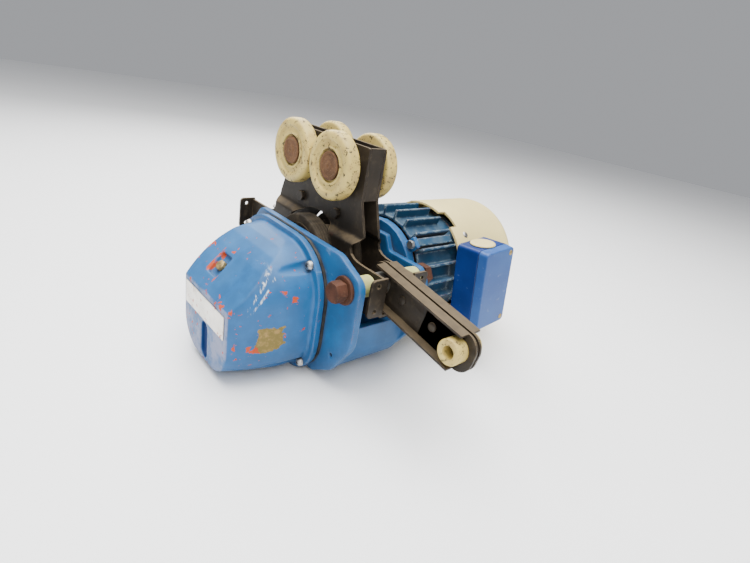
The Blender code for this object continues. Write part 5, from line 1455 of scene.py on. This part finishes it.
class HOIST_OT_terminal_box(Operator):
    """Terminal box with its lid, lid screws and cable-entry plug"""

    bl_idname = "hoist.terminal_box"
    bl_label = "Terminal box"

    def execute(self, context):
        box = bevelled(frame_copy("terminal_box"), 0.0010, 3)
        stand_for(box, "terminal_box", finish_of("box"))
        lid = frame_copy("terminal_box_lid")
        self.lid_screws(lid)
        bevelled(lid, 0.0012, 3)
        stand_for(lid, "terminal_box_lid", finish_of("lid"))
        plug = bevelled(frame_copy("cable_entry_plug"), 0.0007, 3)
        stand_for(plug, "cable_entry_plug", finish_of("cream"))
        return {"FINISHED"}

    @staticmethod
    def lid_screws(lid):
        """Two screws near the far edge of the lid's own leaning face."""
        face = max((each for each in lid.data.polygons if each.normal.y < -0.9), key=lambda each: each.area)
        outwards = face.normal.copy()
        corners = [lid.data.vertices[index].co.copy() for index in face.vertices]
        sides = [after - before for before, after in zip(corners, corners[1:] + corners[:1])]
        upright = max(sides, key=lambda each: each.length).normalized()
        across = upright.cross(outwards).normalized()
        turn = outwards.to_track_quat("-X", "Z").to_matrix()
        wide = [corner.dot(across) for corner in corners]
        tall = [corner.dot(upright) for corner in corners]
        far = max(wide) - LID_SCREW_INSET if across.x > 0 else min(wide) + LID_SCREW_INSET
        for number, height in enumerate((min(tall) + LID_SCREW_INSET, max(tall) - LID_SCREW_INSET), 1):
            place = across * far + upright * height + outwards * corners[0].dot(outwards)
            head = moved(pan_screw(-0.0010, 0.0002, 0.0034), turn=turn)
            screw = new_piece("lid_screw_%d" % number, head, "drive_unit", place)
            smooth(screw)
            stand_for(screw, None, finish_of("brass"))


# ================================================================ frame nodes that keep their shape
class HOIST_OT_inner_parts(Operator):
    """Finishes for the gears, shafts, bearings, windings and other pieces that keep the frame's shape"""

    bl_idname = "hoist.inner_parts"
    bl_label = "Inner parts"

    def execute(self, context):
        slots = {part["node"]: part["material_slot"] for part in frame["record"]["subparts"]}
        for node, thing in frame["nodes"].items():
            if thing.hide_render:
                continue
            made = finish_of(SLOT_FINISHES[slots[node]])
            thing.data.materials.clear()
            thing.data.materials.append(made)
            smooth(thing, 35)
        return {"FINISHED"}


# ================================================================ stage
LIGHTS = (              # name, place from the hoist's middle, size, share of the key light
    ("top_light", (-0.10, 0.10, 1.50), 1.6, 1.0),
    ("front_light", (-0.65, -0.85, 0.95), 0.9, 0.16),
    ("back_light", (0.35, 1.15, 0.95), 1.0, 0.22),
)
FLOOR_REACH = 4.0


class HOIST_OT_stage(Operator):
    """Plain pale floor, soft studio light and the camera"""

    bl_idname = "hoist.stage"
    bl_label = "Stage"

    def execute(self, context):
        sizes = context.scene.hoist_sizes
        low, high = Vector(CAD_BOX[0]), Vector(CAD_BOX[1])
        centre = (low + high) / 2
        self.floor(low.z)
        for name, place, size, share in LIGHTS:
            self.light(name, centre + Vector(place), centre, size, sizes.key_light * share)
        world = context.scene.world or bpy.data.worlds.new("studio")
        context.scene.world = world
        world.use_nodes = True
        sky = world.node_tree.nodes["Background"].inputs
        sky["Color"].default_value = (0.93, 0.95, 1.0, 1.0)
        sky["Strength"].default_value = 0.42
        self.camera(context, sizes)
        return {"FINISHED"}

    @staticmethod
    def floor(level):
        """A wide pale floor just under the hoist."""
        bm = bmesh.new()
        bmesh.ops.create_grid(bm, x_segments=8, y_segments=8, size=FLOOR_REACH)
        bmesh.ops.translate(bm, vec=(0, 0, level - 0.0002), verts=bm.verts)
        mesh = bpy.data.meshes.new("floor")
        bm.to_mesh(mesh)
        bm.free()
        thing = bpy.data.objects.new("floor", mesh)
        bpy.context.scene.collection.objects.link(thing)
        make = Finish("pale_floor", 0.7)
        tint = make.mix(make.noise(3, 3), (0.90, 0.90, 0.895), (0.94, 0.94, 0.935))
        mesh.materials.append(make.done(tint))

    @staticmethod
    def light(name, place, target, size, power):
        """A square soft light that faces its target."""
        lamp = bpy.data.lights.new(name, "AREA")
        lamp.size = size
        lamp.energy = power
        thing = bpy.data.objects.new(name, lamp)
        thing.location = place
        thing.rotation_euler = (target - place).to_track_quat("-Z", "Y").to_euler()
        bpy.context.scene.collection.objects.link(thing)

    @staticmethod
    def camera(context, sizes):
        """The camera looks at the inner end of the coupling arm."""
        aim = Vector((MIDDLE.x + 0.002, PIVOT.y + 0.0164, PIVOT.z - 0.0072))
        flat = math.cos(sizes.elevation)
        back = Vector((math.sin(sizes.azimuth) * flat, -math.cos(sizes.azimuth) * flat,
                       math.sin(sizes.elevation)))
        lens = bpy.data.cameras.new("camera")
        lens.lens = sizes.lens
        lens.sensor_width = 36.0
        lens.clip_start = 0.01
        thing = bpy.data.objects.new("camera", lens)
        thing.location = aim + back * sizes.distance
        turn = back.to_track_quat("Z", "Y").to_matrix()
        thing.rotation_euler = (turn @ Matrix.Rotation(sizes.roll, 3, "Z")).to_euler()
        context.scene.collection.objects.link(thing)
        context.scene.camera = thing


# ================================================================ add-on
OPERATORS = (
    HOIST_OT_gear_cover, HOIST_OT_housing, HOIST_OT_pivot, HOIST_OT_cover_screws, HOIST_OT_side_plates,
    HOIST_OT_wheels, HOIST_OT_friction_wheel, HOIST_OT_arm, HOIST_OT_motor, HOIST_OT_fan_cover,
    HOIST_OT_terminal_box, HOIST_OT_inner_parts, HOIST_OT_stage,
)


class HOIST_PT_pieces(Panel):
    """The pieces of the hoist and the values that shape them"""

    bl_idname = "HOIST_PT_pieces"
    bl_label = "Hoist trolley"
    bl_space_type = "VIEW_3D"
    bl_region_type = "UI"
    bl_category = "Hoist"

    def draw(self, context):
        layout = self.layout
        for group in (context.scene.hoist_sizes, context.scene.hoist_colours):
            column = layout.column()
            for name in type(group).__annotations__:
                column.prop(group, name)
        for operator in OPERATORS:
            layout.operator(operator.bl_idname)


CLASSES = (HoistSizes, HoistColours) + OPERATORS + (HOIST_PT_pieces,)


def register():
    for each in CLASSES:
        bpy.utils.register_class(each)
    bpy.types.Scene.hoist_sizes = PointerProperty(type=HoistSizes)
    bpy.types.Scene.hoist_colours = PointerProperty(type=HoistColours)


def unregister():
    del bpy.types.Scene.hoist_colours
    del bpy.types.Scene.hoist_sizes
    for each in reversed(CLASSES):
        bpy.utils.unregister_class(each)


def clear_startup():
    """Remove Blender's own start objects; the frame's stay."""
    kept = set(frame["nodes"].values()) | set(frame["bodies"].values())
    for thing in START_OBJECTS - kept:
        bpy.data.objects.remove(thing, do_unlink=True)


def plain(box):
    """The box's corners as lists of numbers."""
    return [[float(value) for value in corner] for corner in box]


def main():
    """Build every piece in turn."""
    clear_startup()
    register()
    for operator in OPERATORS:
        group, name = operator.bl_idname.split(".")
        getattr(getattr(bpy.ops, group), name)()


if __name__ == "__main__":
    main()
